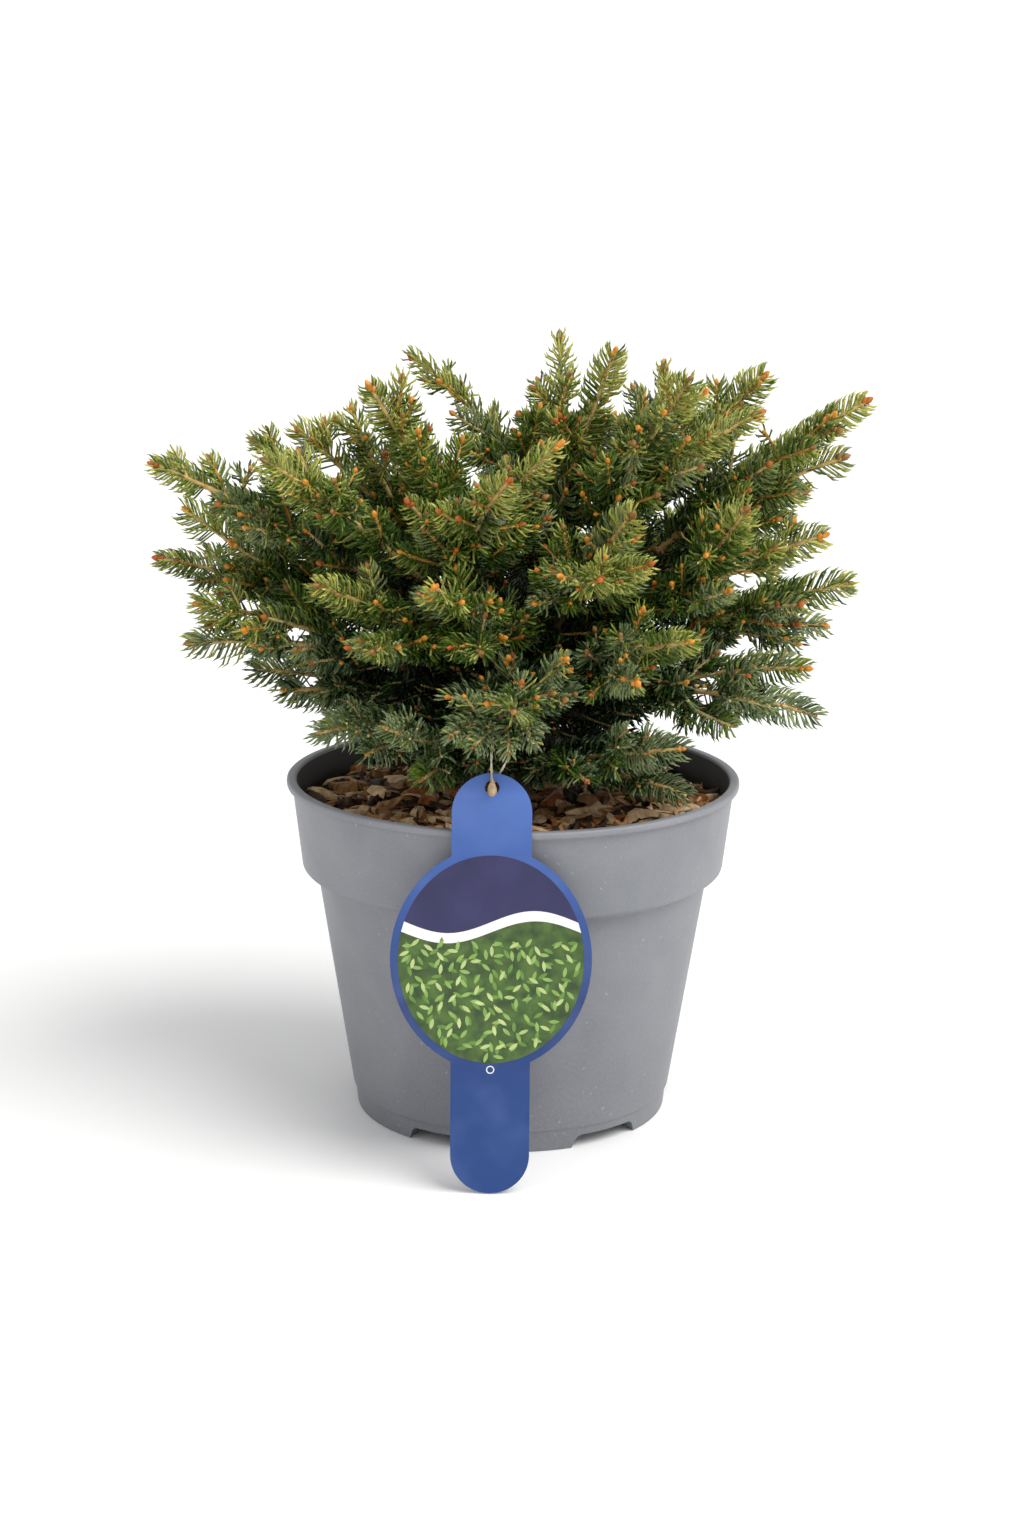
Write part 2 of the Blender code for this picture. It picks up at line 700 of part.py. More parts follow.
def arc(centre, radius_x, radius_y, start, end, count):
    """Points on an ellipse's arc between two angles in degrees."""
    points = []
    for i in range(count + 1):
        angle = math.radians(start + (end - start) * i / count)
        points.append((centre[0] + radius_x * math.cos(angle), centre[1] + radius_y * math.sin(angle)))
    return points


def label_outline():
    """Two round-ended tabs with an oval disc between them."""
    corner = math.degrees(math.acos(TAB_HALF_WIDTH / DISC_HALF_WIDTH))
    tab = TAB_HALF_WIDTH
    disc = (DISC_HALF_WIDTH, DISC_HALF_HEIGHT)
    return (
        arc((0.0, tab), tab, tab, 180.0, 360.0, 8)
        + arc((0.0, DISC_CENTRE), *disc, -corner, corner, 10)
        + arc((0.0, LABEL_LENGTH - tab), tab, tab, 0.0, 180.0, 8)
        + arc((0.0, DISC_CENTRE), *disc, 180.0 - corner, 180.0 + corner, 10)
    )


def build_label(collection, material):
    card = bpy.data.curves.new("label", "CURVE")
    card.dimensions = "2D"
    card.fill_mode = "BOTH"
    card.extrude = LABEL_THICKNESS / 2.0
    hole = arc((0.0, LABEL_LENGTH - HOLE_FROM_TOP), HOLE_RADIUS, HOLE_RADIUS, 0.0, 315.0, 7)
    for outline in (label_outline(), hole):
        spline = card.splines.new("POLY")
        spline.points.add(len(outline) - 1)
        spline.use_cyclic_u = True
        for knot, (x, y) in zip(spline.points, outline):
            knot.co = (x, y, 0.0, 1.0)
    obj = add_object("label", card, collection)
    obj.matrix_world = label_matrix()
    bpy.context.view_layer.update()
    return flatten(obj, collection, material)


def tie_line(limbs):
    """A loop of string through the card's hole and over the low front shoot."""
    place = label_matrix()
    hole_y = LABEL_LENGTH - HOLE_FROM_TOP
    depth = LABEL_THICKNESS / 2.0 + TIE_RADIUS + GAP
    front = place @ Vector((0.0, hole_y, 2.0 * depth))
    back = place @ Vector((0.0, hole_y, -2.0 * depth))
    shoot = limbs.boughs[TIED_MASS]
    over = min(shoot.samples(FINE_STEP), key=lambda point: abs(point.xy.length - TIE_FROM_AXIS))
    side = Vector((TIE_LOOP_RADIUS, 0.0, 0.0))
    knots = [
        front,
        front.lerp(over - side, 0.5) - side * 0.5,
        over - side,
        over + UP * TIE_LOOP_RADIUS,
        over + side,
        back.lerp(over + side, 0.5) + side * 0.5,
        back,
    ]
    return smooth_loop(knots, 2)


def smooth_loop(knots, parts):
    """Points on a smooth closed line through the knots."""
    points = []
    for i in range(len(knots)):
        a, b, c, d = (knots[(i + j - 1) % len(knots)] for j in range(4))
        for step in range(parts):
            t = step / parts
            points.append(b + (c - a) * 0.5 * t + (a - b * 2.5 + c * 2.0 - d * 0.5) * t * t
                          + ((b - c) * 1.5 + (d - a) * 0.5) * t ** 3)
    return points


def build_tie(points, collection, material):
    tie = tube("label_tie", points, [TIE_RADIUS] * len(points), 4, collection, material, closed=True)
    bpy.ops.mesh.primitive_ico_sphere_add(subdivisions=2, radius=KNOT_RADIUS, location=points[0])
    knot = bpy.context.object
    union = tie.modifiers.new("knot", "BOOLEAN")
    union.operation = "UNION"
    union.object = knot
    tie = flatten(tie, collection, material)
    bpy.data.objects.remove(knot)
    return tie


def main():
    for obj in list(bpy.data.objects):
        bpy.data.objects.remove(obj)
    parts = new_collection("birds_nest_spruce")
    cutters = new_collection("cutters")
    grey = make_material("grey_plastic", (0.300, 0.310, 0.330), 0.55)
    mix = make_material("potting_mix", (0.045, 0.030, 0.020), 0.95)
    chips = make_material("bark_chips", (0.160, 0.085, 0.045), 0.90)
    bark = make_material("spruce_bark", (0.200, 0.120, 0.070), 0.90)
    needles = make_material("needles", (0.060, 0.110, 0.035), 0.60)
    card = make_material("label_card", (0.050, 0.110, 0.340), 0.45)
    string = make_material("string", (0.620, 0.540, 0.400), 0.90)
    build_pot(parts, cutters, grey)
    build_potting_mix(parts, mix)
    build_bark_mulch(parts, chips)
    build_trunk(parts, bark)
    limbs = Limbs()
    tie = tie_line(limbs)
    surroundings = Surroundings(limbs, tie)
    for name, (carried, _) in MASSES.items():
        if carried:
            build_bough(name, limbs, parts, bark)
        build_mass(name, limbs, surroundings, parts, needles)
    build_label(parts, card)
    build_tie(tie, parts, string)


main()
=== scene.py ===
"""The looks of a birds nest spruce in its grey nursery pot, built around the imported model.

Metres, +Z up. The origin is on the pot's axis, on the floor.
Azimuth 0 is the front (-Y) and azimuth 90 is the right (+X). Rise is the angle above level.
"""
import math
import random
from functools import partial

import bpy
import numpy as np
from mathutils import Euler, Matrix, Quaternion, Vector, kdtree, noise

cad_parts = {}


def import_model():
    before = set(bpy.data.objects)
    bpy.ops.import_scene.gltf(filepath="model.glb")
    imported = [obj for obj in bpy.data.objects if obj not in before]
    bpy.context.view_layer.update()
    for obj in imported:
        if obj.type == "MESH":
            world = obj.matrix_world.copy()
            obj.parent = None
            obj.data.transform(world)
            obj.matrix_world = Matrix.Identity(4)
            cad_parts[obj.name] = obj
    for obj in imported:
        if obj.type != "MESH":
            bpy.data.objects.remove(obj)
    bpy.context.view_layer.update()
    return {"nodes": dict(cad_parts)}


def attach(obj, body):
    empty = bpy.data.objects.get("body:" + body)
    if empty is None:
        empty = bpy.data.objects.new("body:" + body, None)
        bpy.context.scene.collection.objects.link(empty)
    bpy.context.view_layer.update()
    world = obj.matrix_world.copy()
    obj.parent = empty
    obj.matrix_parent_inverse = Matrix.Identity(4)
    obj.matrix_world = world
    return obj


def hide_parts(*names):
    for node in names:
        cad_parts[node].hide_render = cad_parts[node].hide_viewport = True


BODY = "root"
UP = Vector((0.0, 0.0, 1.0))
GAP = 0.0003
# Edges of bark and chips sharper than this stay sharp
SHARP = 50.0

# Camera, fitted to the ellipses of the pot's lip, band and foot
CAMERA_PLACE = (0.0, -1.05915, 0.40635)
CAMERA_PITCH = 0.2412
CAMERA_ROLL = 0.0084
CAMERA_LENS = 60.76
CAMERA_SENSOR = 36.0
CAMERA_SHIFT = -0.00077

# Studio
FLOOR_HALF = 30.0
FLOOR_SHADES = ((0.88, 0.88, 0.885), (0.9, 0.9, 0.905))
HORIZON_GLOW = 1.03
OVERHEAD_GLOW = 0.66
KEY_FROM = Vector((1.1, -0.66, 1.66))
KEY_ANGLE = 44.0
KEY_STRENGTH = 2.55
KEY_COLOUR = (1.0, 0.985, 0.955)

# Pot: each notch of its foot has an azimuth and an angle of width
POT_HEIGHT = 0.1432
LIP_RADIUS = 0.095
LIP_HEIGHT = 0.003
LIP_INSIDE_RADIUS = 0.0909
BAND_TOP_RADIUS = 0.0927
BAND_FOOT_RADIUS = 0.0886
BAND_FOOT_Z = 0.1055
STEP_Z = 0.1034
BODY_TOP_RADIUS = 0.0825
BODY_FOOT_RADIUS = 0.0678
SEAM_Z = 0.0095
SEAM_STEP = 0.0009
FOOT_RADIUS = 0.066
FOOT_WIDTH = 0.007
WALL = 0.0014
BASE_Z = 0.0062
NOTCHES = ((37.0, 29.0), (105.0, 29.0), (178.0, 29.0), (-104.0, 29.0), (-26.5, 25.0))
NOTCH_TAPER = 0.14
NOTCH_HEIGHT = 0.0055
NOTCH_ROUNDING = 0.0022
DRAIN_RADIUS = 0.0045
DRAIN_CIRCLE = 0.048
INSIDE_EDGE = 0.0011
POT_STEPS = 144
POT_SHARP = 38.0
CORNER_PARTS = 3

# Filling
MULCH_TOP = 0.1325
MULCH_RADIUS = 0.0884
MULCH_BED = 0.129
MULCH_RELIEF = 0.0022
BED_RINGS = 14
BED_STEPS = 72
BED_GRAIN = 120.0
CHIP_COUNT = 1300
CHIP_LENGTH = (0.01, 0.024)
CHIP_WIDTH = (0.002, 0.0085)
CHIP_THICKNESS = (0.0003, 0.0007)
CHIP_ALONG = (-1.0, -0.6, -0.2, 0.2, 0.6, 1.0)
CHIP_ACROSS = (-1.0, -0.35, 0.35, 1.0)
CHIP_CURL = (-0.5, 1.3)
CHIP_ARCH = (-0.12, 0.16)
CHIP_TWIST = (-0.7, 0.7)
CHIP_SWAY = (-0.7, 0.7)
CHIP_RAGGED = 0.06
CHIP_TILT = 30.0
CHIPS_FROM_EDGE = 0.006
CHIPS_ABOVE = 0.001
CHIP_SEED = 4

# Trunk
TRUNK_TOP = 0.208
TRUNK_RADIUS = 0.0068
TRUNK_TIP_RADIUS = 0.0042
ROOT_FLARE = 0.0045
ROOT_FLARE_HEIGHT = 0.01
TRUNK_LEAN = Vector((0.003, 0.002, 0.0))
# Tubes of bark or string: how many sides they have, how fine their relief is and how deep
TRUNK_RELIEF = (22, 420.0, 0.0007)
BOUGH_RELIEF = (12, 620.0, 0.00035)
KNOT_RELIEF = (20, 1500.0, 0.0002)

# Limbs: rise and reach are measured from the crown's centre, and shares are of a limb's length
CROWN_CENTRE = Vector((0.0, 0.0, 0.165))
LOWEST_BASE = 0.144
HIGHEST_BASE = 0.202
BASE_SHIFT = 0.002
BASE_TRIES = 48
FLATTEST_RISE = -12.0
TIP_RISE = 70.0
FOOT_TILT = 10.0
FOOT_SHARE = 0.93
ARCH = 0.13
FORK_BEND = 0.25
BOUGH_SHARE = 0.37
FORK_PAST_BOUGH = 0.02
BARE_SHARE = 0.26
BOUGH_SLENDERNESS = 0.016
BOUGH_TIP_RADIUS = 0.0018
BARE_STEM_RADIUS = 0.00192
SIDE_RADIUS = 0.0012
LIMB_CLEARANCE = 0.0008
FINE_STEP = 0.001
LINE_STEP = 0.002

# Side shoots, by the same rule and the same draws as the solids
NODE_STEP = 0.0335
FIRST_NODE = 0.006
NODE_SPREAD = 0.1
SIDE_ANGLE = 46.0
SIDE_ANGLE_SPREAD = 6.0
SIDE_ROLL = 22.0
SIDE_SHARE = 0.6
SIDE_LONGEST = 0.046
SIDE_SHORTEST = 0.015
SIDE_SPREAD = 0.15
SIDE_SHORTENING = 0.85
SIDE_BEND = 0.06
SIDE_BARE = 0.004
BUD = 0.0035
SEED = 1

# Finer shoots, which only this script grows: rolls are a middle with how far to each side of it
FINER_SHORTEST = 0.009
FINER_BARE = 0.0015
FINER_ANGLE = (40.0, 54.0)
FINER_REACH = (0.8, 1.15)
FINER_STEP = (0.85, 1.15)
FINER_ROLLS = ((0.0, -24.0, 20.0), (180.0, -20.0, 24.0))
RISING_SPREAD = 30.0
LEADER_RULE = {
    "order": 1, "start": 0.02, "step": 0.0185, "clear_tip": 0.024, "longest": 0.03,
    "share": 0.55, "rising": 0.55, "all_round": False, "overlap": 0.008,
}
SIDE_RULE = {
    "order": 2, "start": 0.008, "step": 0.013, "clear_tip": 0.0145, "longest": 0.018,
    "share": 0.62, "rising": 0.2, "all_round": False, "overlap": 0.008,
}
INNER_RULE = {
    "order": 2, "start": 0.008, "step": 0.0075, "clear_tip": 0.004, "longest": 0.03,
    "share": 2.0, "rising": 0.0, "all_round": True, "overlap": 0.03,
}
# A whorl of short side shoots just below a leader's tip: each one's roll and how often it grows
WHORL = ((0.0, 0.5), (180.0, 0.5), (90.0, 0.25))
WHORL_SPREAD = 28.0
WHORL_ANGLE = (40.0, 56.0)
WHORL_FROM_TIP = (0.013, 0.019)
WHORL_REACH = (0.0085, 0.0125)
# Shoots that point at the viewer keep their side shoots nearer to the tip
FRONT = -0.045
FRONT_CLEAR_TIP = 0.62
# Further side shoots at the crown's edge, by the azimuth, rise and reach of their tips
EDGE_SHOOTS = {
    "left_top": [(-81, 42, 0.171)],
    "left_crown": [(-90, 60, 0.149), (-90, 58, 0.151)],
    "left_peak": [(-52, 69, 0.15), (-53, 69, 0.16)],
    "left_middle": [(-76, 20, 0.139)],
    "right_long": [(84, 50, 0.181)],
    "right_middle": [(72, 38, 0.151)],
    "right_front_crown": [(58, 59, 0.17)],
    "front_right_high": [(30, 39, 0.134)],
    "front_right_droop": [(41, 10, 0.088), (34, 9, 0.084)],
    "right_low": [(88, 17, 0.126)],
    "peak": [(149, 83, 0.146)],
    "right_crown": [(113, 69, 0.151)],
    "front_low": [(-8, 8, 0.114), (-1, 7, 0.114), (4, 9, 0.113), (-13, 10, 0.112)],
}
EDGE_ANGLE = 40.0
# Sky or mulch seen through the crown: where each gap crosses the plane y = 0, and its radius
SKY_GAPS = (
    (-0.002, 0.301, 0.0076), (-0.014, 0.308, 0.0063), (-0.031, 0.298, 0.0059), (0.025, 0.298, 0.0038),
    (0.041, 0.299, 0.0046), (0.068, 0.288, 0.0034), (0.092, 0.284, 0.0034), (0.107, 0.29, 0.0055),
    (0.125, 0.268, 0.0038), (-0.113, 0.279, 0.0042), (-0.076, 0.271, 0.005), (-0.016, 0.269, 0.0034),
    (0.095, 0.227, 0.0059), (0.097, 0.202, 0.005), (0.08, 0.18, 0.0063), (-0.111, 0.213, 0.0046),
    (-0.09, 0.202, 0.0055), (-0.086, 0.183, 0.0046), (-0.031, 0.224, 0.0046), (0.032, 0.217, 0.0034),
    (-0.125, 0.242, 0.0034), (0.06, 0.168, 0.0034), (0.109, 0.296, 0.0063), (-0.022, 0.311, 0.0046),
    (-0.003, 0.29, 0.0038), (-0.011, 0.301, 0.0038), (-0.128, 0.261, 0.0034), (-0.039, 0.135, 0.0034),
    (-0.031, 0.135, 0.0034), (-0.024, 0.138, 0.0034), (0.015, 0.138, 0.0034), (0.023, 0.138, 0.0034),
    (0.031, 0.138, 0.0034), (0.039, 0.136, 0.0034), (0.049, 0.133, 0.0034), (0.058, 0.13, 0.0034),
)
SKY_CLEARING = 0.88
SKY_TEST_SHARE = 0.66
# Wood of leaders, side shoots and finer shoots
TWIG_RADII = (0.0013, 0.00085, 0.00066)
TWIG_TIP_RADII = (0.00085, 0.00065, 0.0005)
TWIG_RINGS = (14, 7, 4)
TWIG_SIDES = (6, 5, 4)

# Each shoot's own tone, colour, parting and vigour
TONE_SPREAD = 0.2
LOW_BLUE = 0.5
LOW_BLUE_HEIGHT = 0.045
PALE_WOOD = 0.7
PARTING = (0.25, 0.9)
PARTING_ROLL = 50.0
VIGOUR = (0.76, 1.1)

# Needles: their profile is a place, a width and a bend for each ring
NEEDLE_SEED = 7
PIECE_NEEDLES = 21111
NEEDLE_PITCH = (0.00027, 0.00031, 0.00035)
FEWEST_NEEDLES = 8
INNER_PITCH = 1.5
INNER_TONE = 0.5
NEEDLE_LENGTHS = (0.0103, 0.0097, 0.0088)
NEEDLE_LENGTH_SPREAD = 0.1
NEEDLE_RADIUS = 0.00052
NEEDLE_PROFILE = ((0.0, 0.72, 0.0), (0.74, 1.0, 0.11))
NEEDLE_LEAN = 56.0
NEEDLE_LEAN_SPREAD = 5.0
TOP_LEAN = 10.0
SPIN_SPREAD = 0.2
TIP_ZONE = 0.0145
TIP_BARE = 0.0006
TIP_LEAN = 29.0
TIP_SHORTENING = 0.38
FOOT_ZONE = 0.006
FOOT_SHORTEST = 0.55
UNDERSIDE_LIFT = 0.3
PARTING_COSINE = 0.76
NEEDLE_ROOM = 0.001
RIM_ROOM_ABOVE = 0.0005
RIM_ROOM_INSIDE = 0.0008
SCORE_SPREAD = 0.11
SCORE_LIMITS = (0.37, 0.49, 0.6, 0.7, 0.84)
LOWEST_SHADE = 0.15
SHADE_HEIGHT = 0.16
GREY_SHOOTS = 0.62
LOW_NEEDLES = 0.195
LOW_BLUR = 0.012
GOLDEN_ANGLE = math.pi * (3.0 - math.sqrt(5.0))

# Buds
BUD_SEED = 11
BUD_LENGTH = 0.004
BUD_RADIUS = 0.00136
BUD_PROFILE = ((0.0, 0.5, 0.0), (0.22, 0.96, 0.0), (0.52, 0.98, 0.0), (0.8, 0.58, 0.0))
BUD_SIDES = 6
BUD_SIZES = (1.0, 0.88, 0.72)
BUD_SINK = 0.0006
BUD_ANGLE = (38.0, 60.0)
BUD_FROM_TIP = (0.0012, 0.0024)
BUD_AROUND_SIZE = 0.8
BUD_ALONG = (0.45, 0.85)
BUD_ALONG_ANGLE = 55.0
BUD_ALONG_SIZE = 0.75
BUDS_AROUND = ((2, 3), (0, 1, 2), (0, 0, 0))
LOW_TIP = 0.19
LOW_BUD_SIZE = 0.6
BARE_TIPS = (0.0, 0.0, 0.25)
LOW_BARE_TIPS = (0.15, 0.3, 0.6)

# Label: a flat card that stands on the floor and leans on the pot's lip
LABEL_LENGTH = 0.1671
LABEL_THICKNESS = 0.0006
TAB_HALF_WIDTH = 0.0155
DISC_HALF_WIDTH = 0.0392
DISC_HALF_HEIGHT = 0.0442
DISC_CENTRE = 0.0938
LABEL_X = -0.008
LABEL_LEAN = math.radians(5.3)
LIP_ROUNDING = 0.0009
HOLE_FROM_TOP = 0.0056
HOLE_RADIUS = 0.0028
PRINT_MARGIN = 0.003
PRINT_HALF_WIDTH = DISC_HALF_WIDTH - PRINT_MARGIN
PRINT_HALF_HEIGHT = DISC_HALF_HEIGHT - PRINT_MARGIN
INLAY = 0.00004
HILL_HEIGHT = 0.011
HILL_LINE = 0.004
HILL_WAVE = 0.0045
LEAF_SEED = 3
LEAF_HALF = 0.0022
LEAF_ARC = 1.42
LEAF_SLIMNESS = 0.85
LEAF_TRIES = (900, 900, 130)
LEAF_BELOW_CREST = 0.004
PUNCH_MARK_Y = 0.05
PUNCH_MARK_RADII = (0.0016, 0.0012)

# String: two strands wound round each other, with a knot in front of the card's hole
TIED_MASS = "front_low"
TIE_RADIUS = 0.0005
TIE_LOOP_RADIUS = 0.0042
TIE_FROM_AXIS = 0.086
STRAND_OFFSET = 0.42
STRAND_RADIUS = 0.52
STRAND_TURNS = 14
KNOT_RADIUS = 0.0018
KNOT_LENGTH = 0.0076
KNOT_END_RADIUS = 0.0002
KNOT_HANG = 0.42

# Each mass of needles: whether a bough carries it, and its leaders' azimuth, rise and reach
MASSES = {
    "left_top": (True, [(-80, 37, 0.187)]),
    "left_long": (True, [(-95, 24, 0.167), (-101, 31, 0.168)]),
    "left_middle": (True, [(-75, 23, 0.146), (-79, 16, 0.142)]),
    "left_low": (True, [(-92, 11, 0.114), (-80, 10, 0.101)]),
    "left_skirt": (False, [(-50, 6, 0.104), (-42, 1, 0.09)]),
    "left_back_high": (True, [(-112, 43, 0.168)]),
    "left_front_high": (True, [(-60, 46, 0.165)]),
    "left_crown": (True, [(-90, 54, 0.154), (-81, 63, 0.151)]),
    "left_peak": (False, [(-60, 65, 0.161)]),
    "peak": (False, [(60, 74, 0.166), (128, 82, 0.164), (-122, 71, 0.162)]),
    "right_crown": (True, [(101, 54, 0.181), (111, 66, 0.164)]),
    "right_front_crown": (True, [(51, 60, 0.174), (73, 53, 0.17)]),
    "right_long": (True, [(86, 44, 0.2), (91, 40, 0.178)]),
    "right_back": (True, [(107, 36, 0.163)]),
    "right_middle": (True, [(72, 34, 0.158), (58, 43, 0.148)]),
    "right_low": (True, [(88, 24, 0.154), (100, 16, 0.142)]),
    "right_skirt": (True, [(70, 15, 0.132), (86, 3, 0.129), (62, 10, 0.12)]),
    "right_droop": (False, [(55, -12, 0.09)]),
    "front_right_high": (True, [(33, 50, 0.131), (18, 37, 0.133)]),
    "front_high": (True, [(-38, 56, 0.124), (-2, 56, 0.138), (15, 63, 0.142)]),
    "front_left": (False, [(-20, 39, 0.118), (-8, 28, 0.106)]),
    "front_left_side": (False, [(-52, 35, 0.122), (-32, 25, 0.116)]),
    "front_right_low": (False, [(40, 26, 0.12), (28, 20, 0.11)]),
    "front_low": (False, [(0, 15, 0.124), (12, 26, 0.108)]),
    "front_left_droop": (False, [(-24, -3, 0.092), (-30, 10, 0.104)]),
    "front_right_droop": (False, [(22, -5, 0.082), (46, 3, 0.096)]),
    "back_left": (True, [(-132, 30, 0.15), (-118, 14, 0.132)]),
    "back_left_low": (True, [(-160, 28, 0.138), (-148, 12, 0.124)]),
    "back_right": (True, [(168, 30, 0.14), (176, 12, 0.122)]),
    "back_right_side": (True, [(136, 34, 0.15), (130, 15, 0.133)]),
    "back_high": (True, [(-148, 52, 0.15), (156, 54, 0.152)]),
    "back_droop": (False, [(172, 1, 0.106), (126, 2, 0.108)]),
    "back_left_droop": (False, [(-140, 1, 0.104), (-112, 3, 0.106)]),
}

# Colours: two shades for each, needles from the crown's inside, near black there as painted shade, to
# its tips, paler as fresh growth and brighter still as painted light
NEEDLE_SHADES = {
    "inner": ((0.002, 0.009, 0.002), (0.009, 0.032, 0.005)),
    "deep": ((0.009, 0.034, 0.004), (0.046, 0.108, 0.014)),
    "grey": ((0.08, 0.126, 0.05), (0.272, 0.326, 0.145)),
    "green": ((0.038, 0.084, 0.008), (0.158, 0.238, 0.024)),
    "olive": ((0.152, 0.19, 0.032), (0.418, 0.452, 0.108)),
    "fresh_and_lit": ((0.286, 0.29, 0.045), (0.592, 0.58, 0.15)),
}
TWIG_SHADES = {
    "old": ((0.38, 0.24, 0.08), (0.68, 0.48, 0.19)),
    "young": ((0.46, 0.2, 0.038), (0.74, 0.4, 0.1)),
    "tan": ((0.48, 0.34, 0.13), (0.74, 0.58, 0.27)),
}
BUD_SHADES = {
    "orange": ((0.48, 0.17, 0.02), (0.8, 0.34, 0.055)),
    "red": ((0.32, 0.078, 0.016), (0.52, 0.16, 0.032)),
    "brown": ((0.2, 0.095, 0.028), (0.4, 0.21, 0.07)),
}
BUD_SHARES = (0.5, 0.22, 0.28)
# The bed under the chips: its own dark brown, darkened further as painted shade for the gaps between
# chips
FINES_AND_GAP_SHADES = ((0.008, 0.005, 0.003), (0.036, 0.02, 0.01))
MIX_SHADES = ((0.012, 0.008, 0.005), (0.06, 0.038, 0.024))
CHIP_SHADES = {
    "dark": ((0.015, 0.008, 0.004), (0.075, 0.038, 0.016)),
    "brown": ((0.17, 0.08, 0.028), (0.43, 0.225, 0.092)),
    "red": ((0.21, 0.066, 0.017), (0.45, 0.165, 0.046)),
    "tan": ((0.45, 0.285, 0.14), (0.82, 0.6, 0.36)),
}
CHIP_SHARES = (0.29, 0.29, 0.12, 0.3)
BARK_SHADES = ((0.07, 0.038, 0.02), (0.19, 0.11, 0.06))
CRACK_SHADE = (0.02, 0.011, 0.007)
POT_SHADES = ((0.185, 0.195, 0.216), (0.225, 0.234, 0.255))
POT_INSIDE_SHADES = ((0.012, 0.012, 0.012), (0.024, 0.024, 0.023))
FIBRE_SHADES = ((0.48, 0.4, 0.3), (0.72, 0.66, 0.56))
KNOT_SHADES = ((0.3, 0.2, 0.1), (0.52, 0.4, 0.24))
# The card's blues by their height as a share of its length: the print's own blues, deeper towards the
# foot, with a painted reflection as the lighter band just below the top and painted shade at the top
# edge
CARD_BLUES = (
    (0.0, (0.01, 0.048, 0.198)),
    (0.25, (0.012, 0.047, 0.192)),
    (0.45, (0.014, 0.036, 0.14)),
    (0.8, (0.04, 0.1, 0.34)),
    (0.95, (0.07, 0.15, 0.45)),
    (1.0, (0.03, 0.09, 0.33)),
)
# The card's prints: two shades and the scale at which the colour wanders
PRINT_LOOKS = {
    "green": (((0.02, 0.05, 0.008), (0.07, 0.14, 0.022)), 160.0),
    "white": (((0.78, 0.79, 0.8), (0.86, 0.86, 0.86)), 60.0),
    "navy": (((0.014, 0.014, 0.07), (0.024, 0.022, 0.1)), 60.0),
    "leaf_dark": (((0.09, 0.2, 0.024), (0.15, 0.28, 0.046)), 120.0),
    "leaf_middle": (((0.18, 0.32, 0.06), (0.27, 0.42, 0.11)), 120.0),
    "leaf_pale": (((0.34, 0.46, 0.14), (0.5, 0.6, 0.25)), 120.0),
}


def outward(azimuth):
    angle = math.radians(azimuth)
    return Vector((math.sin(angle), -math.cos(angle), 0.0))


# Materials

def add_node(tree, kind, output, inputs, **settings):
    """The output of a new shader node whose inputs are set to values or linked to other outputs."""
    node = tree.nodes.new("ShaderNode" + kind)
    for name, value in settings.items():
        setattr(node, name, value)
    for name, value in inputs.items():
        if isinstance(value, bpy.types.NodeSocket):
            tree.links.new(value, node.inputs[name])
        else:
            node.inputs[name].default_value = value
    return node.outputs[output]


def new_material(name, roughness, specular=0.5):
    material = bpy.data.materials.new(name)
    material.use_nodes = True
    shader = material.node_tree.nodes["Principled BSDF"]
    shader.inputs["Roughness"].default_value = roughness
    shader.inputs["Specular IOR Level"].default_value = specular
    return material, material.node_tree


def coordinates(tree, stretch=(1.0, 1.0, 1.0)):
    place = add_node(tree, "TexCoord", "Object", {})
    return add_node(tree, "Mapping", "Vector", {"Vector": place, "Scale": stretch})


def noise_value(tree, vector, scale, detail=4.0, distortion=0.0):
    inputs = {"Vector": vector, "Scale": scale, "Detail": detail, "Distortion": distortion}
    return add_node(tree, "TexNoise", "Fac", inputs)


def ramp(tree, value, *stops):
    """A colour ramp through (place, colour) stops, where a single number is a grey."""
    colours = add_node(tree, "ValToRGB", "Color", {"Fac": value})
    elements = colours.node.color_ramp.elements
    while len(elements) < len(stops):
        elements.new(0.5)
    for element, (place, colour) in zip(elements, stops):
        element.position = place
        element.color = (*(colour if isinstance(colour, tuple) else (colour,) * 3), 1.0)
    return colours


def mix(tree, value, first, second):
    """A colour that turns to a second, fixed one as the value goes from 0 to 1."""
    inputs = {"Factor": value, "A": first, "B": (*second, 1.0)}
    return add_node(tree, "Mix", "Result", inputs, data_type="RGBA")


def height_value(tree, vector, axis, top):
    """A share from 0 at the piece's foot to 1 at its top, along one of its own axes."""
    height = add_node(tree, "SeparateXYZ", axis, {"Vector": vector})
    return add_node(tree, "MapRange", "Result", {"Value": height, "From Max": top})


def finished(material, colour, relief=None, strength=0.0, depth=0.0004):
    """The material, with its colour and any relief linked to its shader."""
    tree = material.node_tree
    shader = tree.nodes["Principled BSDF"]
    tree.links.new(colour, shader.inputs["Base Color"])
    if relief is not None:
        inputs = {"Height": relief, "Strength": strength, "Distance": depth}
        tree.links.new(add_node(tree, "Bump", "Normal", inputs), shader.inputs["Normal"])
    return material


def varied(name, shades, scale, roughness, bump=0.0, bump_scale=1000.0, stretch=(1.0, 1.0, 1.0),
           specular=0.5):
    """A colour that wanders between two shades, with a fine relief."""
    material, tree = new_material(name, roughness, specular)
    vector = coordinates(tree, stretch)
    colour = ramp(tree, noise_value(tree, vector, scale), (0.34, shades[0]), (0.66, shades[1]))
    relief = noise_value(tree, vector, bump_scale, 3.0) if bump else None
    return finished(material, colour, relief, bump)


def needle_material(name, shades):
    """Needles of one spray colour: shades that wander from needle to needle, with a waxy gloss."""
    material, tree = new_material(name, 0.43, 0.3)
    vector = coordinates(tree)
    patches = noise_value(tree, vector, 60.0, 2.0)
    needles = noise_value(tree, vector, 700.0, 1.0)
    both = add_node(tree, "Mix", "Result", {"Factor": 0.5, "A": patches, "B": needles})
    return finished(material, ramp(tree, both, (0.4, shades[0]), (0.6, shades[1])))


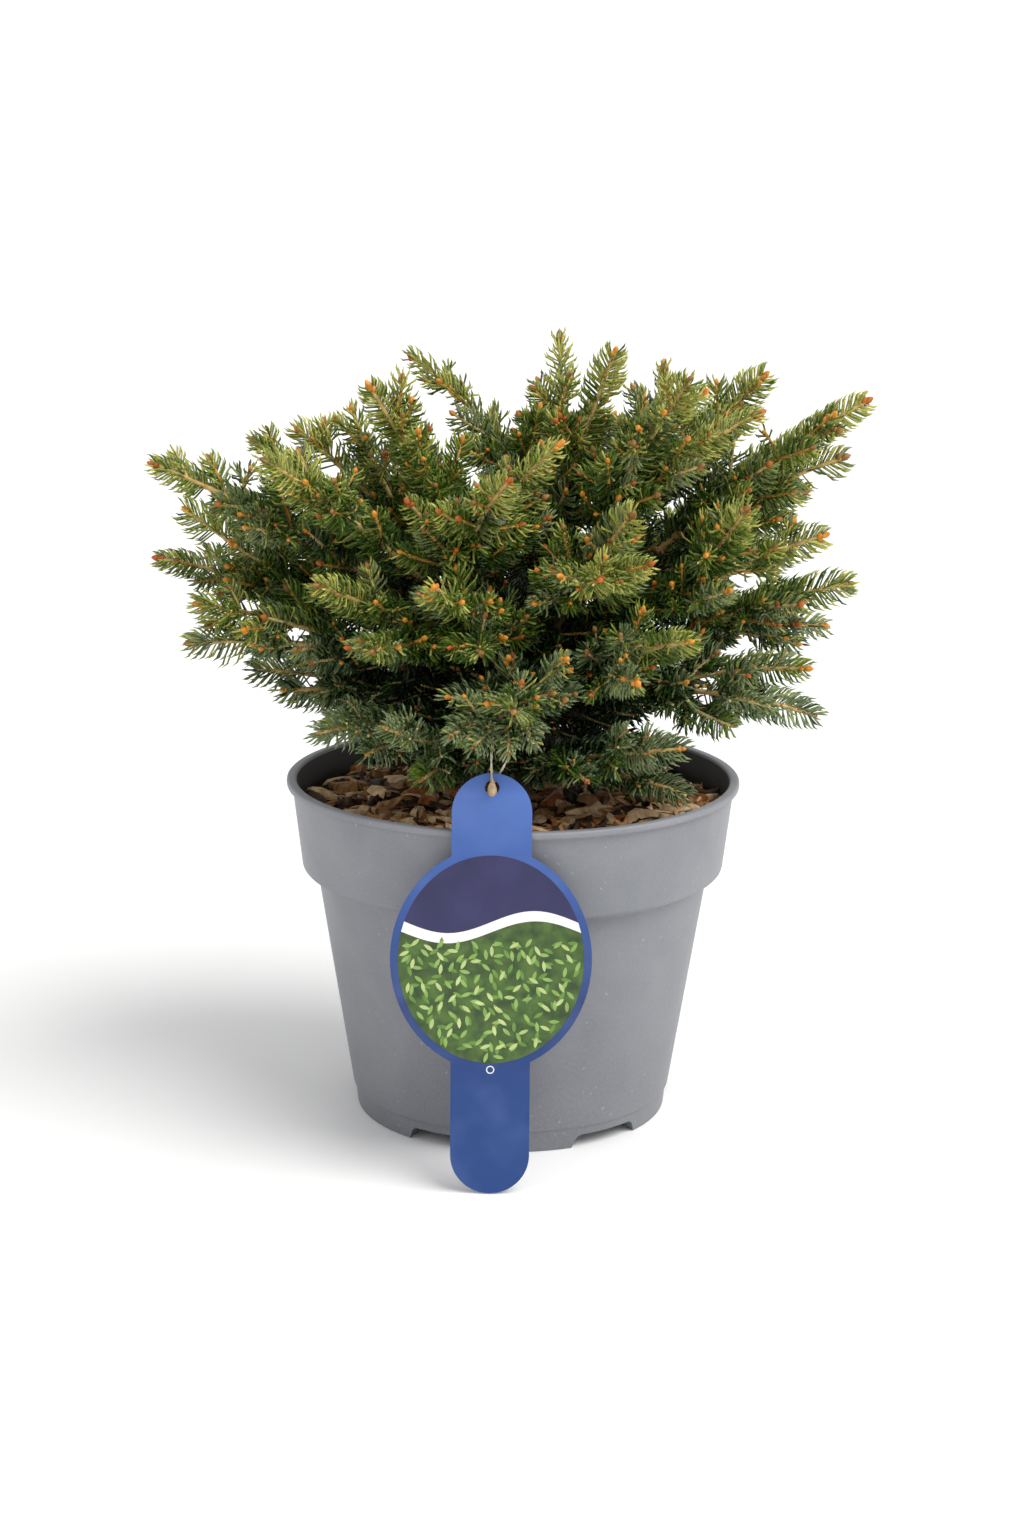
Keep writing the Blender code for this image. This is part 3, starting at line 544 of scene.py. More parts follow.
def pot_material():
    """Matt grey plastic with faint clouds, a fine grain and a few pale specks, with painted shade
    that darkens it towards the foot.
    """
    material, tree = new_material("pot_plastic", 0.46, 0.42)
    vector = coordinates(tree)
    clouds = noise_value(tree, vector, 30.0, 5.0, 0.6)
    grain = noise_value(tree, vector, 950.0, 2.0)
    height = height_value(tree, vector, "Z", POT_HEIGHT)
    specks = noise_value(tree, vector, 620.0, 0.0)
    colour = ramp(tree, clouds, (0.3, POT_SHADES[0]), (0.7, POT_SHADES[1]))
    veils = (
        # Painted shade: a dark grey veil that thickens towards the pot's foot
        (ramp(tree, height, (0.0, 0.34), (0.35, 0.16), (0.72, 0.0)), (0.06, 0.064, 0.072)),
        (ramp(tree, grain, (0.35, 0.0), (0.75, 0.14)), (0.36, 0.37, 0.39)),
        (ramp(tree, specks, (0.815, 0.0), (0.84, 0.35)), (0.48, 0.49, 0.5)),
    )
    for veil, shade in veils:
        colour = mix(tree, veil, colour, shade)
    return finished(material, colour, grain, 0.1, 0.0002)


def bark_material():
    """Rough bark, with long dark cracks along the wood."""
    material, tree = new_material("spruce_bark", 0.85, 0.25)
    vector = coordinates(tree, (1.0, 1.0, 0.35))
    patches = noise_value(tree, vector, 260.0, 5.0)
    cracks = noise_value(tree, vector, 620.0, 3.0, 1.0)
    colour = ramp(tree, patches, (0.35, BARK_SHADES[0]), (0.62, BARK_SHADES[1]))
    colour = mix(tree, ramp(tree, cracks, (0.42, 1.0), (0.5, 0.0)), colour, CRACK_SHADE)
    return finished(material, colour, cracks, 0.6, 0.0006)


def card_material():
    """Smooth printed card: blue that deepens towards the foot, with a painted reflection and painted
    shade near the top, under a light gloss.
    """
    material, tree = new_material("label_blue", 0.32, 0.3)
    vector = coordinates(tree)
    colour = ramp(tree, height_value(tree, vector, "Y", LABEL_LENGTH), *CARD_BLUES)
    veil = ramp(tree, noise_value(tree, vector, 45.0, 2.0), (0.45, 0.0), (0.75, 0.18))
    shader = tree.nodes["Principled BSDF"]
    shader.inputs["Coat Weight"].default_value = 0.15
    shader.inputs["Coat Roughness"].default_value = 0.18
    return finished(material, mix(tree, veil, colour, (0.16, 0.24, 0.52)))


# Objects

def new_object(name, data):
    obj = bpy.data.objects.new(name, data)
    bpy.context.scene.collection.objects.link(obj)
    return obj


def add_piece(name, mesh, material, place=Matrix()):
    """A piece that rides on the plant's one body, with one material."""
    obj = new_object(name, mesh)
    mesh.materials.clear()
    mesh.materials.append(material)
    obj.matrix_world = place
    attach(obj, BODY)
    return obj


def mesh_piece(name, points, faces, material, slot, sharp=None):
    """A smooth piece from points and faces: edges past a sharp angle in degrees stay sharp."""
    mesh = bpy.data.meshes.new(name)
    mesh.from_pydata(points, [], faces)
    mesh.shade_smooth()
    if sharp:
        mesh.set_sharp_from_angle(angle=math.radians(sharp))
    return add_piece(name, mesh, material)


def joined(shapes):
    """Many (points, faces) as one."""
    points = []
    faces = []
    for own_points, own_faces in shapes:
        start = len(points)
        points.extend(own_points)
        faces.extend([start + i for i in face] for face in own_faces)
    return points, faces


def ring_faces(rings, sides, first=0):
    """Quads between each ring of points and the next."""
    faces = []
    for ring in range(rings - 1):
        for side in range(sides):
            a = first + ring * sides + side
            b = first + ring * sides + (side + 1) % sides
            faces.append((a, b, b + sides, a + sides))
    return faces


def tube_triangles(rings, sides):
    """Triangles of a tube whose last ring closes on one more point."""
    quads = np.array(ring_faces(rings, sides))
    last = (rings - 1) * sides
    cap = [(last + i, last + (i + 1) % sides, last + sides) for i in range(sides)]
    return np.vstack([quads[:, [0, 1, 2]], quads[:, [0, 2, 3]], cap])


def flatten(obj):
    """The mesh of an object as its modifiers leave it, and the object removed."""
    graph = bpy.context.evaluated_depsgraph_get()
    mesh = bpy.data.meshes.new_from_object(obj.evaluated_get(graph))
    bpy.data.objects.remove(obj)
    return mesh


def curve_mesh(name, outlines, **settings):
    """Closed lines through points as one curve with these settings, turned into a mesh."""
    curve = bpy.data.curves.new(name, "CURVE")
    for setting, value in settings.items():
        setattr(curve, setting, value)
    for points in outlines:
        spline = curve.splines.new("POLY")
        spline.points.add(len(points) - 1)
        spline.use_cyclic_u = True
        for knot, point in zip(spline.points, points):
            knot.co = (*Vector(point).to_3d(), 1.0)
    return flatten(new_object(name, curve))


# Pot

def rounded(profile):
    """A profile of (radius, z, rounding) with each corner rounded off."""
    points = []
    for i, (radius, z, rounding) in enumerate(profile):
        corner = Vector((radius, z))
        if not rounding:
            points.append(corner)
            continue
        before = Vector(profile[i - 1][:2]) - corner
        after = Vector(profile[i + 1][:2]) - corner
        start = corner + before.normalized() * min(rounding, before.length * 0.45)
        end = corner + after.normalized() * min(rounding, after.length * 0.45)
        for step in range(CORNER_PARTS + 1):
            t = step / CORNER_PARTS
            points.append(start.lerp(corner, t).lerp(corner.lerp(end, t), t))
    return points


def build_pot():
    """A turned shell with a dark inside, cut away between its feet and at its drain holes."""
    lip_under = POT_HEIGHT - LIP_HEIGHT
    profile = rounded([
        (0.0, BASE_Z + WALL, 0.0),
        (BODY_FOOT_RADIUS - WALL, BASE_Z + WALL, 0.002),
        (BODY_TOP_RADIUS - WALL, STEP_Z, 0.0015),
        (BAND_FOOT_RADIUS - WALL, BAND_FOOT_Z, 0.0015),
        (LIP_INSIDE_RADIUS, POT_HEIGHT, 0.0012),
        (LIP_RADIUS, POT_HEIGHT, 0.0012),
        (LIP_RADIUS, lip_under, 0.001),
        (BAND_TOP_RADIUS, lip_under, 0.0008),
        (BAND_FOOT_RADIUS, BAND_FOOT_Z, 0.0014),
        (BODY_TOP_RADIUS, STEP_Z, 0.0012),
        (BODY_FOOT_RADIUS, SEAM_Z, 0.0006),
        (FOOT_RADIUS + SEAM_STEP, SEAM_Z - SEAM_STEP, 0.0004),
        (FOOT_RADIUS, 0.0, 0.0006),
        (FOOT_RADIUS - FOOT_WIDTH, 0.0, 0.0006),
        (FOOT_RADIUS - FOOT_WIDTH, BASE_Z, 0.0006),
        (0.0, BASE_Z, 0.0),
    ])
    mesh = bpy.data.meshes.new("pot_profile")
    edges = [(i, i + 1) for i in range(len(profile) - 1)]
    mesh.from_pydata([(point.x, 0.0, point.y) for point in profile], edges, [])
    pot = new_object("pot_profile", mesh)
    screw = pot.modifiers.new("turn", "SCREW")
    screw.steps = POT_STEPS
    screw.render_steps = POT_STEPS
    screw.use_merge_vertices = True
    screw.merge_threshold = 0.00002
    cutters = []
    for azimuth, angle in NOTCHES:
        cutters += [notch_cutter(azimuth, angle), drain_cutter(azimuth)]
    for cutter in cutters:
        cut = pot.modifiers.new("cut", "BOOLEAN")
        cut.operation = "DIFFERENCE"
        cut.object = cutter
    mesh = flatten(pot)
    for cutter in cutters:
        bpy.data.objects.remove(cutter)
    mesh.shade_smooth()
    mesh.set_sharp_from_angle(angle=math.radians(POT_SHARP))
    shell = add_piece("pot_shell", mesh, pot_material())
    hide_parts("pot")
    mesh.materials.append(varied("pot_inside", POT_INSIDE_SHADES, 40.0, 0.5, 0.1, 900.0))
    for face in mesh.polygons:
        spot = face.center.copy()
        facing_in = face.normal.x * spot.x + face.normal.y * spot.y < 0.0
        if facing_in and BASE_Z + WALL < spot.z < POT_HEIGHT - INSIDE_EDGE:
            face.material_index = 1


def notch_cutter(azimuth, angle):
    """A block, rounded and narrower upward, that cuts the space between two feet."""
    width = 2.0 * FOOT_RADIUS * math.sin(math.radians(angle / 2.0))
    bpy.ops.mesh.primitive_cube_add(size=1.0, location=outward(azimuth) * FOOT_RADIUS)
    notch = bpy.context.object
    notch.data.transform(Matrix.Diagonal((width, FOOT_WIDTH * 4.0, NOTCH_HEIGHT * 2.0, 1.0)))
    for vertex in notch.data.vertices:
        vertex.co.x *= 1.0 - NOTCH_TAPER * vertex.co.z / NOTCH_HEIGHT
    notch.rotation_euler.z = math.radians(azimuth)
    corners = notch.modifiers.new("corners", "BEVEL")
    corners.width = NOTCH_ROUNDING
    corners.segments = 4
    return notch


def drain_cutter(azimuth):
    place = outward(azimuth) * DRAIN_CIRCLE + UP * BASE_Z
    bpy.ops.mesh.primitive_cylinder_add(
        vertices=24, radius=DRAIN_RADIUS, depth=BASE_Z, location=place)
    return bpy.context.object


# Filling

def build_mulch():
    """A bed of dark fine bark, darkened further as painted shade for the gaps between chips, with
    curled bark chips strewn over it, in four colours.
    """
    points = [(0.0, 0.0, MULCH_BED)]
    for ring in range(1, BED_RINGS + 1):
        for step in range(BED_STEPS):
            spot = outward(360.0 * step / BED_STEPS) * MULCH_RADIUS * ring / BED_RINGS
            points.append((spot.x, spot.y, MULCH_BED + MULCH_RELIEF * noise.noise(spot * BED_GRAIN)))
    faces = [(0, 1 + (step + 1) % BED_STEPS, 1 + step) for step in range(BED_STEPS)]
    faces += ring_faces(BED_RINGS, BED_STEPS, 1)
    fines_and_gap_shade = varied("bark_fines_and_gap_shade", FINES_AND_GAP_SHADES, 260.0, 0.95, 0.9, 500.0)
    bed = mesh_piece("mulch_bed", points, faces, fines_and_gap_shade, "bark_chips")
    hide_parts("bark_mulch")
    draws = random.Random(CHIP_SEED)
    groups = {kind: [] for kind in CHIP_SHADES}
    for index in range(CHIP_COUNT):
        kind = draws.choices(list(CHIP_SHADES), CHIP_SHARES)[0]
        groups[kind].append(chip(draws, index / CHIP_COUNT))
    for kind, chips in groups.items():
        shades = CHIP_SHADES[kind]
        material = varied("bark_" + kind, shades, 330.0, 0.66, 0.7, 900.0, (1.0, 1.0, 0.4), 0.2)
        mesh_piece("mulch_chips_" + kind, *joined(chips), material, "bark_chips", SHARP)


def chip(draws, layer):
    """One curled bark chip as (points, faces): a thin slab, bent across and ragged at its ends."""
    length = draws.uniform(*CHIP_LENGTH) * draws.uniform(0.5, 1.0)
    width = min(length * 0.8, draws.uniform(*CHIP_WIDTH))
    thickness = draws.uniform(*CHIP_THICKNESS)
    curl = draws.uniform(*CHIP_CURL) * width
    arch = draws.uniform(*CHIP_ARCH) * length
    twist = draws.uniform(*CHIP_TWIST)
    sway = draws.uniform(*CHIP_SWAY) * width
    columns = len(CHIP_ACROSS)
    rows = []
    for u in CHIP_ALONG:
        narrow = (1.0 - 0.8 * abs(u) ** 2.4) * draws.uniform(0.8, 1.1)
        for v in CHIP_ACROSS:
            x = u * length / 2.0 + draws.uniform(-CHIP_RAGGED, CHIP_RAGGED) * length * abs(v)
            y = v * width / 2.0 * narrow + sway * u * u
            z = curl * 0.4 * (1.0 - v * v) + arch * (1.0 - u * u) + twist * u * y
            rows.append(Vector((x, y, z)))
    count = len(rows)
    faces = []
    for a in [i for i in range(count - columns) if (i + 1) % columns]:
        faces.append((a, a + columns, a + columns + 1, a + 1))
        faces.append((a + count, a + count + 1, a + count + columns + 1, a + count + columns))
    rim = [*range(columns), *range(2 * columns - 1, count, columns)]
    rim += [*range(count - 2, count - columns - 1, -1), *range(count - 2 * columns, 0, -columns)]
    faces += [(a, b, b + count, a + count) for a, b in zip(rim, rim[1:] + rim[:1])]
    radius = (MULCH_RADIUS - CHIPS_FROM_EDGE) * math.sqrt(draws.random())
    spot = outward(draws.uniform(0.0, 360.0)) * radius
    spot.z = MULCH_BED + (MULCH_TOP - MULCH_BED + CHIPS_ABOVE) * layer
    tilt = Euler((
        math.radians(draws.uniform(-CHIP_TILT, CHIP_TILT)),
        math.radians(draws.uniform(-CHIP_TILT, CHIP_TILT)) * 0.6,
        draws.uniform(0.0, 2.0 * math.pi),
    )).to_matrix()
    placed = [tilt @ p + spot for p in [p + UP * thickness for p in rows] + rows]
    for p in placed:
        if p.xy.length > MULCH_RADIUS:
            p.xy *= MULCH_RADIUS / p.xy.length
    return placed, faces


# Limbs, by the rule of the solids

def trunk_centre(z):
    share = (z - MULCH_TOP) / (TRUNK_TOP - MULCH_TOP)
    return TRUNK_LEAN * share * share + UP * z


def trunk_radius(z):
    share = (z - MULCH_TOP) / (TRUNK_TOP - MULCH_TOP)
    flare = max(0.0, 1.0 - (z - MULCH_TOP) / ROOT_FLARE_HEIGHT)
    return TRUNK_RADIUS + share * (TRUNK_TIP_RADIUS - TRUNK_RADIUS) + ROOT_FLARE * flare ** 2


class Path:
    """A smooth line from a base, pulled towards a middle point, to a tip."""

    def __init__(self, base, middle, tip):
        self.base = base
        self.middle = middle
        self.tip = tip
        steps = [self.at(i / 16) for i in range(17)]
        self.length = sum((b - a).length for a, b in zip(steps, steps[1:]))

    def at(self, t):
        return self.base.lerp(self.middle, t).lerp(self.middle.lerp(self.tip, t), t)

    def direction(self, t):
        return (self.middle - self.base).lerp(self.tip - self.middle, t).normalized()

    def rest(self, t):
        """The same line from a share of it to its tip."""
        return Path(self.at(t), self.middle.lerp(self.tip, t), self.tip)

    def samples(self, step, start=0.0, end=1.0):
        count = max(2, round(self.length * (end - start) / step))
        return [self.at(start + (end - start) * i / count) for i in range(count + 1)]

    def points(self, shares):
        """Points and directions at an array of shares, as arrays."""
        base, middle, tip = (np.array(p) for p in (self.base, self.middle, self.tip))
        t = shares[:, None]
        places = (1.0 - t) ** 2 * base + 2.0 * t * (1.0 - t) * middle + t ** 2 * tip
        return places, unit((1.0 - t) * (middle - base) + t * (tip - middle))


def unit(vectors):
    return vectors / np.linalg.norm(vectors, axis=-1, keepdims=True)


def tip_place(leader):
    azimuth, rise, reach = leader
    angle = math.radians(rise)
    direction = outward(azimuth) * math.cos(angle) + UP * math.sin(angle)
    return CROWN_CENTRE + direction * (reach - BUD)


def first_path(base, leader):
    """A leader's line from the trunk, which leaves steeply and flattens outward."""
    tip = tip_place(leader)
    lift = UP * ARCH * (tip - base).length * math.cos(math.radians(leader[1]))
    return Path(base, base.lerp(tip, 0.5) + lift, tip)


def fork_path(base, forward, leader):
    """A further leader's line, which starts along the first and turns to its own tip."""
    tip = tip_place(leader)
    chord = tip - base
    return Path(base, base.lerp(tip, 0.5) + (forward * chord.length - chord) * FORK_BEND, tip)


def root_radius(carried, leader):
    return leader[2] * BOUGH_SLENDERNESS if carried else BARE_STEM_RADIUS


def base_on_trunk(leader, z, radius):
    """The foot of a limb, a gap clear of the trunk's side or, for the steepest, of its tip."""
    rise = math.radians(max(0.0, leader[1]) + FOOT_TILT)
    if leader[1] > TIP_RISE:
        return trunk_centre(TRUNK_TOP) + UP * (GAP + radius * math.cos(rise))
    distance = trunk_radius(z) + GAP + FOOT_SHARE * radius * math.sin(rise)
    return trunk_centre(z) + outward(leader[0]) * distance


def is_clear(points, radius, placed):
    for others, other_radius in placed:
        least = radius + other_radius + LIMB_CLEARANCE
        if any((a - b).length < least for a in points for b in others):
            return False
    return True


def place_limbs():
    """Give each mass's first leader a foot on the trunk, clear of the ones already placed."""
    placed = []
    paths = {}
    for name, (carried, leaders) in sorted(MASSES.items(), key=lambda item: item[1][1][0][1]):
        leader = leaders[0]
        radius = root_radius(carried, leader)
        wanted = LOWEST_BASE + (leader[1] - FLATTEST_RISE) / 90.0 * (HIGHEST_BASE - LOWEST_BASE)
        for attempt in range(BASE_TRIES):
            shift = BASE_SHIFT * ((attempt + 1) // 2) * (1 if attempt % 2 else -1)
            lowest = MULCH_TOP + ROOT_FLARE_HEIGHT / 2.0
            z = min(TRUNK_TOP - 2.0 * radius, max(lowest, wanted + shift))
            path = first_path(base_on_trunk(leader, z, radius), leader)
            inner = path.samples(FINE_STEP, 0.0, BOUGH_SHARE)
            if is_clear(inner, radius, placed):
                break
        placed.append((inner, radius))
        paths[name] = path
    return paths


class Limbs:
    """The trunk, the boughs and every leader's line, worked out once for the whole plant."""

    def __init__(self):
        self.boughs = place_limbs()
        self.leaders = {}
        for name, (carried, leaders) in MASSES.items():
            bough = self.boughs[name]
            start = BOUGH_SHARE + GAP / bough.length if carried else 0.0
            fork = BOUGH_SHARE + FORK_PAST_BOUGH if carried else BARE_SHARE
            lines = [bough.rest(start)]
            for leader in leaders[1:]:
                lines.append(fork_path(bough.at(fork), bough.direction(fork), leader))
            self.leaders[name] = lines

    def bough_radius(self, name, t):
        thick = root_radius(True, MASSES[name][1][0])
        return thick + (BOUGH_TIP_RADIUS - thick) * t / BOUGH_SHARE

    def solid_samples(self):
        """Points along the trunk and the boughs, with the radius at each."""
        samples = []
        count = round((TRUNK_TOP - MULCH_TOP) / LINE_STEP)
        for i in range(count + 1):
            z = MULCH_TOP + (TRUNK_TOP - MULCH_TOP) * i / count
            samples.append((trunk_centre(z), trunk_radius(z)))
        for name, bough in self.boughs.items():
            count = round(bough.length * BOUGH_SHARE / LINE_STEP) if MASSES[name][0] else 0
            for i in range(count):
                t = BOUGH_SHARE * i / count
                samples.append((bough.at(t), self.bough_radius(name, t)))
        return samples


def point_tree(points):
    tree = kdtree.KDTree(len(points))
    for index, point in enumerate(points):
        tree.insert(point, index)
    tree.balance()
    return tree


class Surroundings:
    """What a shoot keeps clear of, and the space that each mass keeps to."""

    def __init__(self, limbs, tie_points):
        lines = {}
        for name in MASSES:
            lines[name] = limbs.boughs[name].samples(LINE_STEP)
            for leader in limbs.leaders[name][1:]:
                lines[name] += leader.samples(LINE_STEP)
        self.own = {name: point_tree(points) for name, points in lines.items()}
        self.others = {}
        for name in MASSES:
            others = [lines[other] for other in MASSES if other != name]
            self.others[name] = point_tree([point for points in others for point in points])
        solids = limbs.solid_samples()
        self.limbs = point_tree([point for point, _ in solids])
        self.limb_radii = [radius for _, radius in solids]
        strands = zip(tie_points, tie_points[1:] + tie_points[:1])
        self.tie = point_tree([a.lerp(b, i / 8) for a, b in strands for i in range(8)])

    def allows(self, mass, point, thickness, overlap=0.0):
        """True where a point is in its mass's space and clear of limbs, pot, mulch, label and tie."""
        room = thickness + 2.0 * GAP
        margin = self.others[mass].find(point)[2] - self.own[mass].find(point)[2]
        if margin < 2.0 * room - overlap:
            return False
        _, index, distance = self.limbs.find(point)
        if distance < self.limb_radii[index] + room:
            return False
        if self.tie.find(point)[2] < TIE_RADIUS + room:
            return False
        if point.z < MULCH_TOP + MULCH_RELIEF + room:
            return False
        if point.z < POT_HEIGHT + room and point.xy.length > LIP_INSIDE_RADIUS - room:
            return False
        beside = abs(point.x - LABEL_X) > TAB_HALF_WIDTH + room
        return beside or point.z > LABEL_LENGTH + room or point.y > -LIP_INSIDE_RADIUS


# Shoots

class Shoot:
    """One shoot: its line, order (0 leader, 1 side shoot, 2 finer) and where its needles start."""

    def __init__(self, mass, path, order, bare):
        self.mass = mass
        self.path = path
        self.order = order
        self.bare = bare

    def vary(self, reach, draws):
        """Its tone, from 0 inside the crown, where its needles get painted shade, to 1 at the
        outside, where they get the paler colour of fresh growth and painted light, and its own habit.
        """
        end = self.path.tip - CROWN_CENTRE
        self.tone = end.length / reach + draws.uniform(-TONE_SPREAD, TONE_SPREAD)
        self.blue = draws.random() + (LOW_BLUE if end.z < LOW_BLUE_HEIGHT else 0.0)
        self.parting = draws.uniform(*PARTING)
        self.roll = math.radians(90.0 + draws.uniform(-PARTING_ROLL, PARTING_ROLL))
        self.vigour = draws.uniform(*VIGOUR)


def side_frame(forward):
    sideways = forward.cross(UP).normalized()
    return sideways, sideways.cross(forward)


def turned_from(forward, sideways, upward, angle, roll):
    """A direction at an angle from forward, rolled round it from sideways towards upward."""
    across = sideways * math.cos(roll) + upward * math.sin(roll)
    return forward * math.cos(angle) + across * math.sin(angle)


def side_shoots(mass, path, start, surroundings, seed):
    """Pairs of side shoots at each year's node, as on the solids."""
    shoots = []
    distance = start
    while path.length - distance > SIDE_SHORTEST:
        t = distance / path.length
        forward = path.direction(t)
        sideways, upward = side_frame(forward)
        for side in (-1.0, 1.0):
            roll = math.radians(seed.uniform(-SIDE_ROLL, SIDE_ROLL))
            angle = math.radians(SIDE_ANGLE + seed.uniform(-SIDE_ANGLE_SPREAD, SIDE_ANGLE_SPREAD))
            direction = turned_from(forward, sideways * side, upward, angle, roll)
            reach = min(SIDE_LONGEST, (path.length - distance) * SIDE_SHARE)
            reach *= 1.0 + seed.uniform(-SIDE_SPREAD, SIDE_SPREAD)
            line = fitting_path(mass, path.at(t), direction, forward, reach, surroundings)
            if line:
                shoots.append(Shoot(mass, line, 1, SIDE_BARE))
        distance += NODE_STEP * (1.0 + seed.uniform(-NODE_SPREAD, NODE_SPREAD))
    return shoots


def side_path(base, direction, forward, reach):
    """A side shoot's line, which bends a little away from its parent's direction."""
    middle = base + (direction * (0.5 + SIDE_BEND) - forward * SIDE_BEND) * reach
    return Path(base, middle, base + direction * reach)


def fitting_path(mass, base, direction, forward, reach, surroundings,
                 shortest=SIDE_SHORTEST, overlap=0.0):
    """A side shoot's line, shortened until it fits, or None where there is no room for one."""
    while reach > shortest:
        line = side_path(base, direction, forward, reach)
        points = line.samples(2.0 * LINE_STEP, BARE_SHARE)
        if all(surroundings.allows(mass, point, SIDE_RADIUS * 1.5, overlap) for point in points):
            return line
        reach *= SIDE_SHORTENING
    return None


def finer_shoots(parent, surroundings, seed, rule):
    """Shoots between those of the solids: pairs to the sides, and some that rise."""
    path = parent.path
    shoots = []
    distance = rule["start"]
    clear_tip = rule["clear_tip"] * (FRONT_CLEAR_TIP if path.tip.y < FRONT else 1.0)
    while path.length - distance > clear_tip:
        t = distance / path.length
        forward = path.direction(t)
        sideways, upward = side_frame(forward)
        rolls = [middle + seed.uniform(least, most) for middle, least, most in FINER_ROLLS]
        if seed.random() < rule["rising"]:
            rolls.append(90.0 + seed.uniform(-RISING_SPREAD, RISING_SPREAD))
        if rule["all_round"]:
            rolls = [seed.uniform(0.0, 360.0) for _ in range(3)]
        for roll in rolls:
            angle = math.radians(seed.uniform(*FINER_ANGLE))
            direction = turned_from(forward, sideways, upward, angle, math.radians(roll))
            reach = min(rule["longest"], (path.length - distance) * rule["share"])
            reach *= seed.uniform(*FINER_REACH)
            line = fitting_path(parent.mass, path.at(t), direction, forward, reach, surroundings,
                                FINER_SHORTEST, rule["overlap"])
            if line:
                shoots.append(Shoot(parent.mass, line, rule["order"], FINER_BARE))
        distance += rule["step"] * seed.uniform(*FINER_STEP)
    return shoots


def whorl_shoots(leader, seed):
    """Short shoots round a leader just below its tip, the upper one less often."""
    path = leader.path
    t = 1.0 - seed.uniform(*WHORL_FROM_TIP) / path.length
    forward = path.direction(t)
    sideways, upward = side_frame(forward)
    shoots = []
    for roll, chance in WHORL:
        turn = math.radians(roll + seed.uniform(-WHORL_SPREAD, WHORL_SPREAD))
        angle = math.radians(seed.uniform(*WHORL_ANGLE))
        direction = turned_from(forward, sideways, upward, angle, turn)
        reach = seed.uniform(*WHORL_REACH)
        if seed.random() < chance:
            line = side_path(path.at(t), direction, forward, reach)
            shoots.append(Shoot(leader.mass, line, 2, FINER_BARE))
    return shoots


def edge_shoots(mass, leaders):
    """Side shoots that end at given places, each from the leader that passes nearest."""
    shoots = []
    for place in EDGE_SHOOTS.get(mass, ()):
        tip = tip_place(place)
        path = min((leader.path for leader in leaders),
                   key=lambda path: min((tip - point).length for point in path.samples(LINE_STEP)))
        misses = {}
        for t in [i / 40 for i in range(2, 38)]:
            angle = math.degrees(path.direction(t).angle(tip - path.at(t)))
            misses[t] = abs(angle - EDGE_ANGLE)
        t = min(misses, key=misses.get)
        base = path.at(t)
        bend = path.direction(t) * SIDE_BEND * (tip - base).length
        middle = base.lerp(tip, 0.5 + SIDE_BEND) - bend
        shoots.append(Shoot(mass, Path(base, middle, tip), 1, SIDE_BARE))
    return shoots


def in_sky_gap(points):
    """Which points lie in a gap: each runs through the crown, in line with the photo's view."""
    eye = np.array(CAMERA_PLACE)
    offsets = np.array(points) - eye
    inside = np.zeros(len(offsets), bool)
    for x, z, radius in SKY_GAPS:
        line = unit(np.array([x, 0.0, z]) - eye)
        across = offsets - (offsets @ line)[:, None] * line
        inside |= np.linalg.norm(across, axis=1) < radius
    return inside


def grow_shoots(limbs, surroundings):
    """Every shoot of the crown that doesn't end in a gap."""
    shoots = []
    for name, (carried, leaders) in MASSES.items():
        seed = random.Random(f"{name} {SEED}")
        fine = random.Random(f"fine {name} {SEED}")
        lines = limbs.leaders[name]
        bare = SIDE_BARE if carried else lines[0].length * BARE_SHARE
        mains = [Shoot(name, lines[0], 0, bare)]
        mains += [Shoot(name, line, 0, SIDE_BARE) for line in lines[1:]]
        own = list(mains)
        for leader in mains:
            own += side_shoots(name, leader.path, leader.bare + FIRST_NODE, surroundings, seed)
        own += edge_shoots(name, mains)
        for leader in mains:
            own += finer_shoots(leader, surroundings, fine, LEADER_RULE)
            own += whorl_shoots(leader, fine)
        for side in [shoot for shoot in own if shoot.order == 1]:
            own += finer_shoots(side, surroundings, fine, SIDE_RULE)
        if carried:
            bough = limbs.boughs[name]
            inside = Path(bough.base, bough.at(BOUGH_SHARE / 2.0), bough.at(BOUGH_SHARE))
            own += finer_shoots(Shoot(name, inside, 0, 0.0), surroundings, fine, INNER_RULE)
        reach = max(leader[2] for leader in leaders)
        for shoot in own:
            shoot.vary(reach, fine)
            tests = [shoot.path.tip, shoot.path.at(SKY_TEST_SHARE)]
            if shoot.order == 0 or not in_sky_gap(tests).any():
                shoots.append(shoot)
    return shoots


# Needles, buds and wood

def frames(directions):
    """Two unit vectors across each direction: the one that points most upward, and a level one."""
    up = np.tile(np.array([0.0, 0.0, 1.0]), (len(directions), 1))
    steep = np.abs(directions[:, 2]) > 0.97
    up[steep] = (0.0, -1.0, 0.0)
    level = unit(np.cross(directions, up))
    return np.cross(level, directions), level


def tube_arrays(path, radii, rings, sides):
    """A tapered tube along a path, closed to a point at its end."""
    centres, directions = path.points(np.linspace(0.0, 1.0, rings))
    rise, level = frames(directions)
    angles = (np.arange(sides) * 2.0 * np.pi / sides)[None, :, None]
    radius = np.linspace(radii[0], radii[1], rings)[:, None, None]
    ring = rise[:, None, :] * np.cos(angles) + level[:, None, :] * np.sin(angles)
    points = (centres[:, None, :] + ring * radius).reshape(-1, 3)
    point = centres[-1] + directions[-1] * radii[1]
    return np.vstack([points, point]), tube_triangles(rings, sides)


